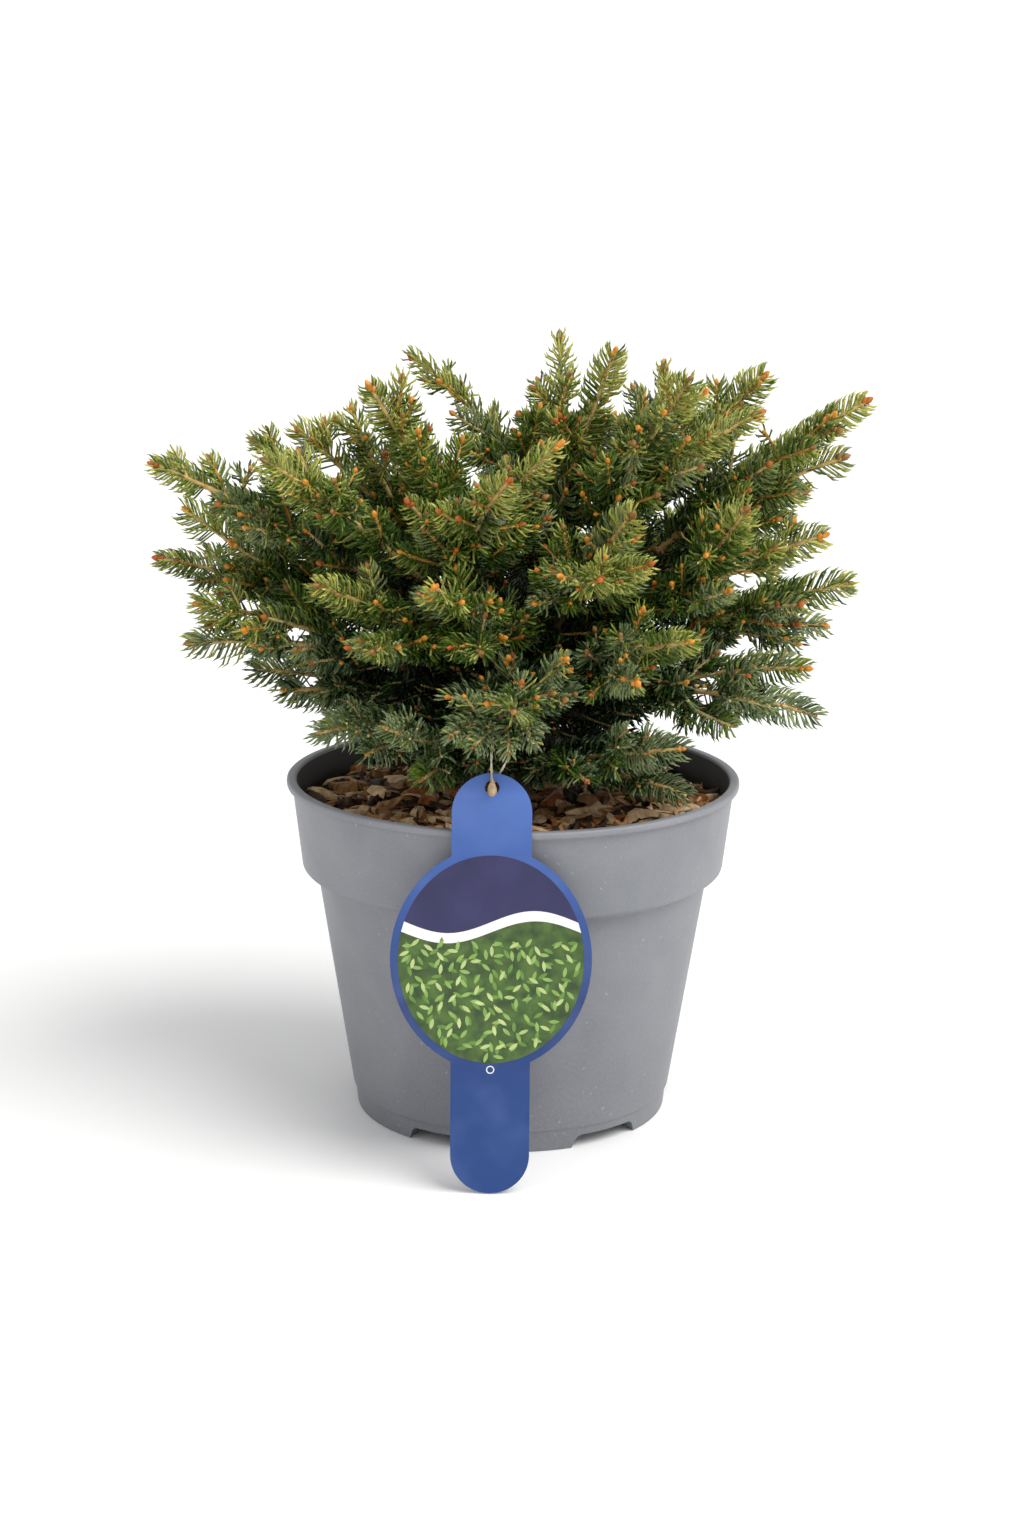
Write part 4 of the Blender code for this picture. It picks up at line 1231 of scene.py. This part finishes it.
def spindles(bases, directions, across, lengths, radii, profile, sides):
    """Many pointed shapes at once: the profile gives each ring's place, width and bend."""
    other = np.cross(directions, across)
    rings = []
    for place, width, bend in profile:
        centre = bases + (directions * place + across * bend) * lengths[:, None]
        for side in range(sides):
            angle = 2.0 * math.pi * side / sides
            offset = across * math.cos(angle) + other * math.sin(angle)
            rings.append(centre + offset * (width * radii)[:, None])
    rings.append(bases + directions * lengths[:, None])
    points = np.stack(rings, axis=1)
    starts = np.arange(len(bases)) * points.shape[1]
    triangles = tube_triangles(len(profile), sides)[None] + starts[:, None, None]
    return points.reshape(-1, 3), triangles.reshape(-1, 3)


def needle_places(shoot, draws):
    """A shoot's needles: bases, directions, outward vectors, lengths, shares, and which stay."""
    path = shoot.path
    leafy = path.length - shoot.bare - TIP_BARE
    pitch = NEEDLE_PITCH[shoot.order] * (INNER_PITCH if shoot.tone < INNER_TONE else 1.0)
    count = max(FEWEST_NEEDLES, int(leafy / pitch))
    order = np.arange(count)
    shares = (shoot.bare + leafy * (order + draws.random(count) * 0.5) / count) / path.length
    shares = np.minimum(shares, 0.998)
    centres, along = path.points(shares)
    rise, level = frames(along)
    spin = order * GOLDEN_ANGLE + draws.uniform(-SPIN_SPREAD, SPIN_SPREAD, count)
    spin = (spin + np.pi) % (2.0 * np.pi) - np.pi
    flatness = np.clip(1.0 - np.abs(along[:, 2]), 0.0, 1.0)
    under = np.maximum(0.0, np.abs(spin) - np.pi / 2.0)
    spin = np.sign(spin) * (np.abs(spin) - under * UNDERSIDE_LIFT * flatness)
    spin += 0.5 * shoot.parting * np.sin(2.0 * (spin - shoot.roll))
    away = rise * np.cos(spin)[:, None] + level * np.sin(spin)[:, None]
    near_tip = np.clip(1.0 - (1.0 - shares) * path.length / TIP_ZONE, 0.0, 1.0)
    lean = NEEDLE_LEAN + draws.uniform(-NEEDLE_LEAN_SPREAD, NEEDLE_LEAN_SPREAD, count)
    lean = np.radians(lean - TOP_LEAN * np.cos(spin) * flatness - TIP_LEAN * near_tip)
    directions = along * np.cos(lean)[:, None] + away * np.sin(lean)[:, None]
    outer = away * np.cos(lean)[:, None] - along * np.sin(lean)[:, None]
    lengths = 1.0 + draws.uniform(-NEEDLE_LENGTH_SPREAD, NEEDLE_LENGTH_SPREAD, count)
    lengths *= NEEDLE_LENGTHS[shoot.order] * shoot.vigour * (1.0 - TIP_SHORTENING * near_tip ** 2)
    lengths *= np.clip(shares * path.length / FOOT_ZONE, FOOT_SHORTEST, 1.0)
    beside = np.abs(np.cos(spin - shoot.roll)) < PARTING_COSINE
    stays = beside | (draws.random(count) > shoot.parting)
    in_gap = in_sky_gap(centres + directions * lengths[:, None] * 0.6)
    stays &= ~in_gap | (draws.random(count) > SKY_CLEARING)
    bases = centres + away * TWIG_RADII[shoot.order] * 0.5
    return bases, directions, outer, lengths, shares, stays


def needles_fit(ends):
    """Which needle ends are clear of the mulch, the pot's wall and the label."""
    x, y, z = ends.T
    radius = np.hypot(x, y)
    in_mulch = (z < MULCH_TOP + NEEDLE_ROOM) & (radius < LIP_INSIDE_RADIUS)
    in_wall = (z < POT_HEIGHT + RIM_ROOM_ABOVE) & (radius > LIP_INSIDE_RADIUS - RIM_ROOM_INSIDE)
    beside = np.abs(x - LABEL_X) < TAB_HALF_WIDTH + NEEDLE_ROOM
    in_label = beside & (z < LABEL_LENGTH + NEEDLE_ROOM) & (y < -LIP_INSIDE_RADIUS)
    return ~(in_mulch | in_wall | in_label)


def shade_of(shoot, shares, draws):
    """The colour of each needle, by how far out and how high its stretch of the shoot lies: painted
    light outside and high up, painted shade inside and low down.
    """
    places, _ = shoot.path.points(shares)
    reach = max(leader[2] for leader in MASSES[shoot.mass][1])
    out = np.linalg.norm(places - np.array(CROWN_CENTRE), axis=1) / reach
    height = (places[:, 2] - LOWEST_SHADE) / SHADE_HEIGHT
    # Painted light and shade: outer and higher needles get the brighter shades, partly for fresh
    # growth, inner ones the near-black shades
    score = 0.68 * out + 0.16 * height + 0.26 * (shoot.tone - out) + 0.1 * (shares - 0.5)
    score += draws.normal(0.0, SCORE_SPREAD, len(shares))
    index = np.searchsorted(SCORE_LIMITS, score)
    index[(index == 2) | (index == 3)] = 2 if shoot.blue > GREY_SHOOTS else 3
    # Painted shade: low needles lose the two brightest shades and take the grey green
    low = places[:, 2] + draws.normal(0.0, LOW_BLUR, len(shares)) < LOW_NEEDLES
    index[(index > 3) & low] = 2
    return np.array(list(NEEDLE_SHADES))[index]


def build_needles(shoots):
    """All the needles, a piece for each colour, or more where a piece would be too large."""
    draws = np.random.default_rng(NEEDLE_SEED)
    groups = {name: [] for name in NEEDLE_SHADES}
    for shoot in shoots:
        bases, directions, outer, lengths, shares, stays = needle_places(shoot, draws)
        kept = stays & needles_fit(bases + directions * lengths[:, None])
        shades = shade_of(shoot, shares, draws)
        for name in groups:
            some = kept & (shades == name)
            groups[name].append((bases[some], directions[some], outer[some], lengths[some]))
    for name, parts in groups.items():
        material = needle_material("needles_" + name, NEEDLE_SHADES[name])
        columns = [np.concatenate(column) for column in zip(*parts)]
        columns.append(np.full(len(columns[0]), NEEDLE_RADIUS))
        for index, start in enumerate(range(0, len(columns[0]), PIECE_NEEDLES)):
            part = [column[start:start + PIECE_NEEDLES] for column in columns]
            shapes = spindles(*part, NEEDLE_PROFILE, 3)
            piece = mesh_piece(f"needles_{name}_{index + 1}", *shapes, material, "needles")
            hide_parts(*MASSES)


def build_twigs(shoots):
    """The shoots' wood: grey brown on old leaders, tan and orange brown on young shoots."""
    groups = {kind: [] for kind in TWIG_SHADES}
    for shoot in shoots:
        order = shoot.order
        pale = shoot.blue > PALE_WOOD or shoot.path.tip.z < LOW_TIP
        kind = "old" if order == 0 else ("tan" if pale else "young")
        radii = (TWIG_RADII[order], TWIG_TIP_RADII[order])
        groups[kind].append(tube_arrays(shoot.path, radii, TWIG_RINGS[order], TWIG_SIDES[order]))
    for kind, shapes in groups.items():
        material = varied("twig_" + kind, TWIG_SHADES[kind], 300.0, 0.7, 0.3, 1500.0, specular=0.3)
        mesh_piece("twigs_" + kind, *joined(shapes), material, "spruce_bark")


def buds_of(shoot, size, draws):
    """A shoot's buds as (place, direction, size): at its tip, round the tip and along the shoot."""
    path = shoot.path
    forward = path.direction(1.0)
    sideways, upward = side_frame(forward)
    buds = [(path.tip - forward * BUD_SINK, forward, size)]
    around = draws.choice(BUDS_AROUND[shoot.order])
    turn = draws.uniform(0.0, 360.0)
    for i in range(around):
        roll = math.radians(turn + i * 360.0 / around)
        angle = math.radians(draws.uniform(*BUD_ANGLE))
        side = turned_from(forward, sideways, upward, angle, roll)
        place = path.tip - forward * draws.uniform(*BUD_FROM_TIP)
        buds.append((place, side, size * BUD_AROUND_SIZE))
    if shoot.order < 2 and draws.random() < 0.5:
        t = draws.uniform(*BUD_ALONG)
        roll = math.radians(draws.uniform(0.0, 180.0))
        side = turned_from(path.direction(t), sideways, upward, math.radians(BUD_ALONG_ANGLE), roll)
        buds.append((path.at(t), side, size * BUD_ALONG_SIZE))
    return buds


def build_buds(shoots):
    """Egg-shaped buds in three colours, fewer and smaller on the low shoots."""
    draws = random.Random(BUD_SEED)
    groups = {kind: [] for kind in BUD_SHADES}
    for shoot in shoots:
        low = shoot.path.tip.z < LOW_TIP
        size = BUD_SIZES[shoot.order] * draws.uniform(0.85, 1.15) * (LOW_BUD_SIZE if low else 1.0)
        kind = draws.choices(list(BUD_SHADES), BUD_SHARES)[0]
        if draws.random() >= (LOW_BARE_TIPS if low else BARE_TIPS)[shoot.order]:
            groups[kind] += buds_of(shoot, size, draws)
    for kind, buds in groups.items():
        places, directions, sizes = (np.array(column) for column in zip(*buds))
        directions = unit(directions)
        across = frames(directions)[0]
        shapes = spindles(places, directions, across, sizes * BUD_LENGTH, sizes * BUD_RADIUS,
                          BUD_PROFILE, BUD_SIDES)
        material = varied("bud_" + kind, BUD_SHADES[kind], 500.0, 0.5, 0.3, 1600.0, specular=0.25)
        mesh_piece("buds_" + kind, *shapes, material, "needles")


def relief_tube(centre, direction, radius, stops, sides, grain, depth):
    """A tube with the relief of bark, from functions of a share of its length."""
    points = []
    for t in stops:
        forward = direction(t)
        upright = abs(forward.z) > 0.999
        across, upward = (Vector((1, 0, 0)), Vector((0, 1, 0))) if upright else side_frame(forward)
        for side in range(sides):
            angle = 2.0 * math.pi * side / sides
            away = across * math.cos(angle) + upward * math.sin(angle)
            spot = centre(t) + away * radius(t)
            rough = noise.noise(Vector((spot.x, spot.y, spot.z * 0.45)) * grain)
            points.append(spot + away * depth * rough)
    ends = [range(sides)[::-1], range(len(points) - sides, len(points))]
    return points, ring_faces(len(stops), sides) + ends


def build_wood(limbs):
    """The trunk with its root flare, and the boughs, with the relief of bark."""
    bark = bark_material()

    def level(t):
        return MULCH_BED + (TRUNK_TOP - MULCH_BED) * t

    def centre(t):
        return trunk_centre(level(t))

    def girth(t):
        return trunk_radius(max(MULCH_TOP, level(t)))

    stops = [i / 40 for i in range(41)]
    shape = relief_tube(centre, lambda t: UP, girth, stops, *TRUNK_RELIEF)
    trunk = mesh_piece("trunk_bark", *shape, bark, "spruce_bark", SHARP)
    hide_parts("trunk")
    names = [name for name, (carried, _) in MASSES.items() if carried]
    stops = [BOUGH_SHARE * i / 22 for i in range(23)]
    shapes = []
    for name in names:
        bough = limbs.boughs[name]
        radius = partial(limbs.bough_radius, name)
        shapes.append(relief_tube(bough.at, bough.direction, radius, stops, *BOUGH_RELIEF))
    boughs = mesh_piece("boughs_bark", *joined(shapes), bark, "spruce_bark", SHARP)
    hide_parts(*["bough_" + name for name in names])


# Label and its string

def label_matrix():
    """Where the card stands: its face to the front, its back a gap clear of the pot's lip."""
    reach = LIP_RADIUS + (GAP + LABEL_THICKNESS / 2.0) / math.cos(LABEL_LEAN)
    foot_y = -reach - (POT_HEIGHT - LIP_ROUNDING) * math.tan(LABEL_LEAN)
    turn = Euler((math.pi / 2.0 - LABEL_LEAN, 0.0, 0.0)).to_matrix().to_4x4()
    return Matrix.Translation((LABEL_X, foot_y, GAP)) @ turn


def arc(centre, radius_x, radius_y, start, end, count):
    """Points on an ellipse's arc between two angles in degrees."""
    angles = [math.radians(start + (end - start) * i / count) for i in range(count + 1)]
    x, y = centre
    return [(x + radius_x * math.cos(a), y + radius_y * math.sin(a)) for a in angles]


def circle(y, radius):
    """A round outline on the card's middle line."""
    return arc((0.0, y), radius, radius, 0.0, 345.0, 23)


def label_outline():
    """Two round-ended tabs with an oval disc between them."""
    corner = math.degrees(math.acos(TAB_HALF_WIDTH / DISC_HALF_WIDTH))
    tab = TAB_HALF_WIDTH
    disc = ((0.0, DISC_CENTRE), DISC_HALF_WIDTH, DISC_HALF_HEIGHT)
    return (
        arc((0.0, tab), tab, tab, 180.0, 360.0, 32)
        + arc(*disc, -corner, corner, 40)
        + arc((0.0, LABEL_LENGTH - tab), tab, tab, 0.0, 180.0, 32)
        + arc(*disc, 180.0 - corner, 180.0 + corner, 40)
    )


def label_piece(name, outlines, thickness, lift, material):
    """Flat plates lifted off the card's middle: an outline inside another is a hole in it."""
    mesh = curve_mesh(name, outlines, dimensions="2D", fill_mode="BOTH", extrude=thickness / 2.0)
    mesh.transform(Matrix.Translation((0.0, 0.0, lift)))
    return add_piece(name, mesh, material, label_matrix())


def crest(height):
    """A wavy line across the disc from right to left, and the angle on the disc where it ends."""
    half = PRINT_HALF_WIDTH * math.sqrt(1.0 - (height / PRINT_HALF_HEIGHT) ** 2)
    shares = [1.0 - i / 16 for i in range(33)]
    line = [(half * u, DISC_CENTRE + height + HILL_WAVE * math.sin(math.pi * u)) for u in shares]
    return line, math.degrees(math.atan2(height / PRINT_HALF_HEIGHT, half / PRINT_HALF_WIDTH))


def build_label():
    """A blank blue card with a plain design on its disc: a hill of leaves under a white line."""
    outlines = [label_outline(), circle(LABEL_LENGTH - HOLE_FROM_TOP, HOLE_RADIUS)]
    card = label_piece("label_card_front", outlines, LABEL_THICKNESS, 0.0, card_material())
    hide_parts("label")
    low, start = crest(HILL_HEIGHT)
    high, end = crest(HILL_HEIGHT + HILL_LINE)
    disc = ((0.0, DISC_CENTRE), PRINT_HALF_WIDTH, PRINT_HALF_HEIGHT)
    hill = low[1:-1] + arc(*disc, 180.0 - start, 360.0 + start, 48)
    field = high[1:-1] + arc(*disc, 180.0 - end, end, 32)
    leaves = leaf_outlines()
    mark = [circle(PUNCH_MARK_Y, radius) for radius in PUNCH_MARK_RADII]
    paints = {name: varied("label_" + name, *look, 0.3) for name, look in PRINT_LOOKS.items()}
    prints = (
        ("hill", [hill], 1.0, "green"),
        ("line", [low + high[::-1]], 1.0, "white"),
        ("field", [field], 1.0, "navy"),
        ("leaves_dark", leaves[0], 2.5, "leaf_dark"),
        ("leaves_middle", leaves[1], 3.5, "leaf_middle"),
        ("leaves_pale", leaves[2], 4.5, "leaf_pale"),
        ("punch_mark", mark, 1.0, "white"),
    )
    for name, outlines, layer, paint in prints:
        lift = LABEL_THICKNESS / 2.0 + layer * INLAY
        label_piece("label_" + name, outlines, INLAY, lift, paints[paint])


def leaf_outlines():
    """Slim leaves strewn over the hill, as the outlines of each kind, which don't touch."""
    draws = random.Random(LEAF_SEED)
    radius = LEAF_HALF * LEAF_ARC
    lens = arc((0.0, -LEAF_HALF), radius, radius, 45.0, 135.0, 4)
    lens += arc((0.0, LEAF_HALF), radius, radius, 225.0, 315.0, 4)[1:-1]
    groups = []
    for tries in LEAF_TRIES:
        outlines = []
        middles = []
        for _ in range(tries):
            x = draws.uniform(-PRINT_HALF_WIDTH, PRINT_HALF_WIDTH)
            y = draws.uniform(-PRINT_HALF_HEIGHT, HILL_HEIGHT - LEAF_BELOW_CREST)
            turn = draws.uniform(0.0, math.pi)
            width = PRINT_HALF_WIDTH - LEAF_HALF
            height = PRINT_HALF_HEIGHT - LEAF_HALF
            crowded = any(math.hypot(x - u, y - v) < 2.0 * LEAF_HALF for u, v in middles)
            if crowded or (x / width) ** 2 + (y / height) ** 2 >= 1.0:
                continue
            middles.append((x, y))
            along = Vector((math.cos(turn), math.sin(turn)))
            across = Vector((-along.y, along.x)) * LEAF_SLIMNESS
            middle = Vector((x, DISC_CENTRE + y))
            outlines.append([middle + along * u + across * v for u, v in lens])
        groups.append(outlines)
    return groups


def smooth_loop(knots, parts):
    """Points on a smooth closed line through the knots."""
    points = []
    for i in range(len(knots)):
        a, b, c, d = (knots[(i + j - 1) % len(knots)] for j in range(4))
        for step in range(parts):
            t = step / parts
            points.append(b + (c - a) * 0.5 * t + (a - b * 2.5 + c * 2.0 - d * 0.5) * t * t
                          + ((b - c) * 1.5 + (d - a) * 0.5) * t ** 3)
    return points


def tie_knots(limbs):
    """The string's route: through the card's hole and over the low front shoot."""
    place = label_matrix()
    hole_y = LABEL_LENGTH - HOLE_FROM_TOP
    depth = 2.0 * (LABEL_THICKNESS / 2.0 + TIE_RADIUS + GAP)
    front = place @ Vector((0.0, hole_y, depth))
    back = place @ Vector((0.0, hole_y, -depth))
    shoot = limbs.boughs[TIED_MASS]
    over = min(shoot.samples(FINE_STEP), key=lambda point: abs(point.xy.length - TIE_FROM_AXIS))
    side = Vector((TIE_LOOP_RADIUS, 0.0, 0.0))
    return [
        front,
        front.lerp(over - side, 0.5) - side * 0.5,
        over - side,
        over + UP * TIE_LOOP_RADIUS,
        over + side,
        back.lerp(over + side, 0.5) + side * 0.5,
        back,
    ]


def build_tie(knots):
    """Thin string of two twisted strands, with a drop-shaped knot in front of the hole."""
    line = smooth_loop(knots, 24)
    strands = [[], []]
    for i, point in enumerate(line):
        forward = (line[(i + 1) % len(line)] - line[i - 1]).normalized()
        across = forward.cross(Vector((0.3, 0.9, 0.2))).normalized()
        wound = 2.0 * math.pi * (i * STRAND_TURNS / len(line))
        for side, strand in enumerate(strands):
            spin = Quaternion(forward, wound + side * math.pi)
            strand.append(point + spin @ across * TIE_RADIUS * STRAND_OFFSET)
    mesh = curve_mesh("label_string", strands, dimensions="3D",
                      bevel_depth=TIE_RADIUS * STRAND_RADIUS, bevel_resolution=2)
    mesh.shade_smooth()
    fibre = varied("string_fibre", FIBRE_SHADES, 700.0, 0.9, 0.6, 1500.0)
    string = add_piece("label_string", mesh, fibre)
    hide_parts("label_tie")
    stops = [math.sin(math.pi * (i / 20 - 0.5)) * 0.5 + 0.5 for i in range(21)]
    foot = knots[0] - UP * KNOT_LENGTH * KNOT_HANG

    def centre(t):
        return foot + UP * KNOT_LENGTH * t

    def girth(t):
        drop = math.sin(math.pi * t ** 0.62) * (1.0 - 0.35 * t)
        return KNOT_END_RADIUS + KNOT_RADIUS * drop * (1.0 + 0.06 * math.sin(t * 34.0))

    knot = relief_tube(centre, lambda t: UP, girth, stops, *KNOT_RELIEF)
    tan = varied("string_knot", KNOT_SHADES, 600.0, 0.9, 0.8, 1400.0)
    mesh_piece("label_knot", *knot, tan, "string", SHARP)


# Studio

def build_studio():
    """A white floor, a glow that is brightest at the horizon, and one soft light from the right."""
    half = FLOOR_HALF
    corners = [(-half, -half, 0.0), (half, -half, 0.0), (half, half, 0.0), (-half, half, 0.0)]
    mesh = bpy.data.meshes.new("floor")
    mesh.from_pydata(corners, [], [(0, 1, 2, 3)])
    mesh.materials.append(varied("studio_floor", FLOOR_SHADES, 3.0, 0.8, specular=0.2))
    floor = new_object("floor", mesh)
    world = bpy.data.worlds.new("studio")
    world.use_nodes = True
    tree = world.node_tree
    place = add_node(tree, "TexCoord", "Generated", {})
    height = add_node(tree, "SeparateXYZ", "Z", {"Vector": place})
    glow = ramp(tree, height, (0.12, HORIZON_GLOW), (0.75, OVERHEAD_GLOW))
    tree.links.new(glow, tree.nodes["Background"].inputs["Color"])
    scene = bpy.context.scene
    scene.world = world
    scene.view_settings.view_transform = "Standard"
    key = bpy.data.lights.new("key", "SUN")
    key.energy = KEY_STRENGTH
    key.angle = math.radians(KEY_ANGLE)
    key.color = KEY_COLOUR
    new_object("key", key).rotation_euler = KEY_FROM.to_track_quat("Z", "Y").to_euler()


def build_camera():
    camera = bpy.data.cameras.new("camera")
    camera.lens = CAMERA_LENS
    camera.sensor_width = CAMERA_SENSOR
    camera.shift_x = CAMERA_SHIFT
    obj = new_object("camera", camera)
    pitch = Matrix.Rotation(math.pi / 2.0 - CAMERA_PITCH, 4, "X")
    roll = Matrix.Rotation(CAMERA_ROLL, 4, "Z")
    obj.matrix_world = Matrix.Translation(CAMERA_PLACE) @ (pitch @ roll)
    bpy.context.scene.camera = obj


def dress_frame(frame):
    """The potting mix stays as it is under the mulch, in its own material."""
    materials = frame["nodes"]["potting_mix"].data.materials
    materials.clear()
    materials.append(varied("potting_mix_fibres", MIX_SHADES, 300.0, 0.95, 0.9, 700.0))


def main():
    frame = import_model()
    build_camera()
    build_studio()
    dress_frame(frame)
    build_pot()
    build_mulch()
    limbs = Limbs()
    knots = tie_knots(limbs)
    surroundings = Surroundings(limbs, smooth_loop(knots, 2))
    build_wood(limbs)
    shoots = grow_shoots(limbs, surroundings)
    build_twigs(shoots)
    build_needles(shoots)
    build_buds(shoots)
    build_label()
    build_tie(knots)


main()
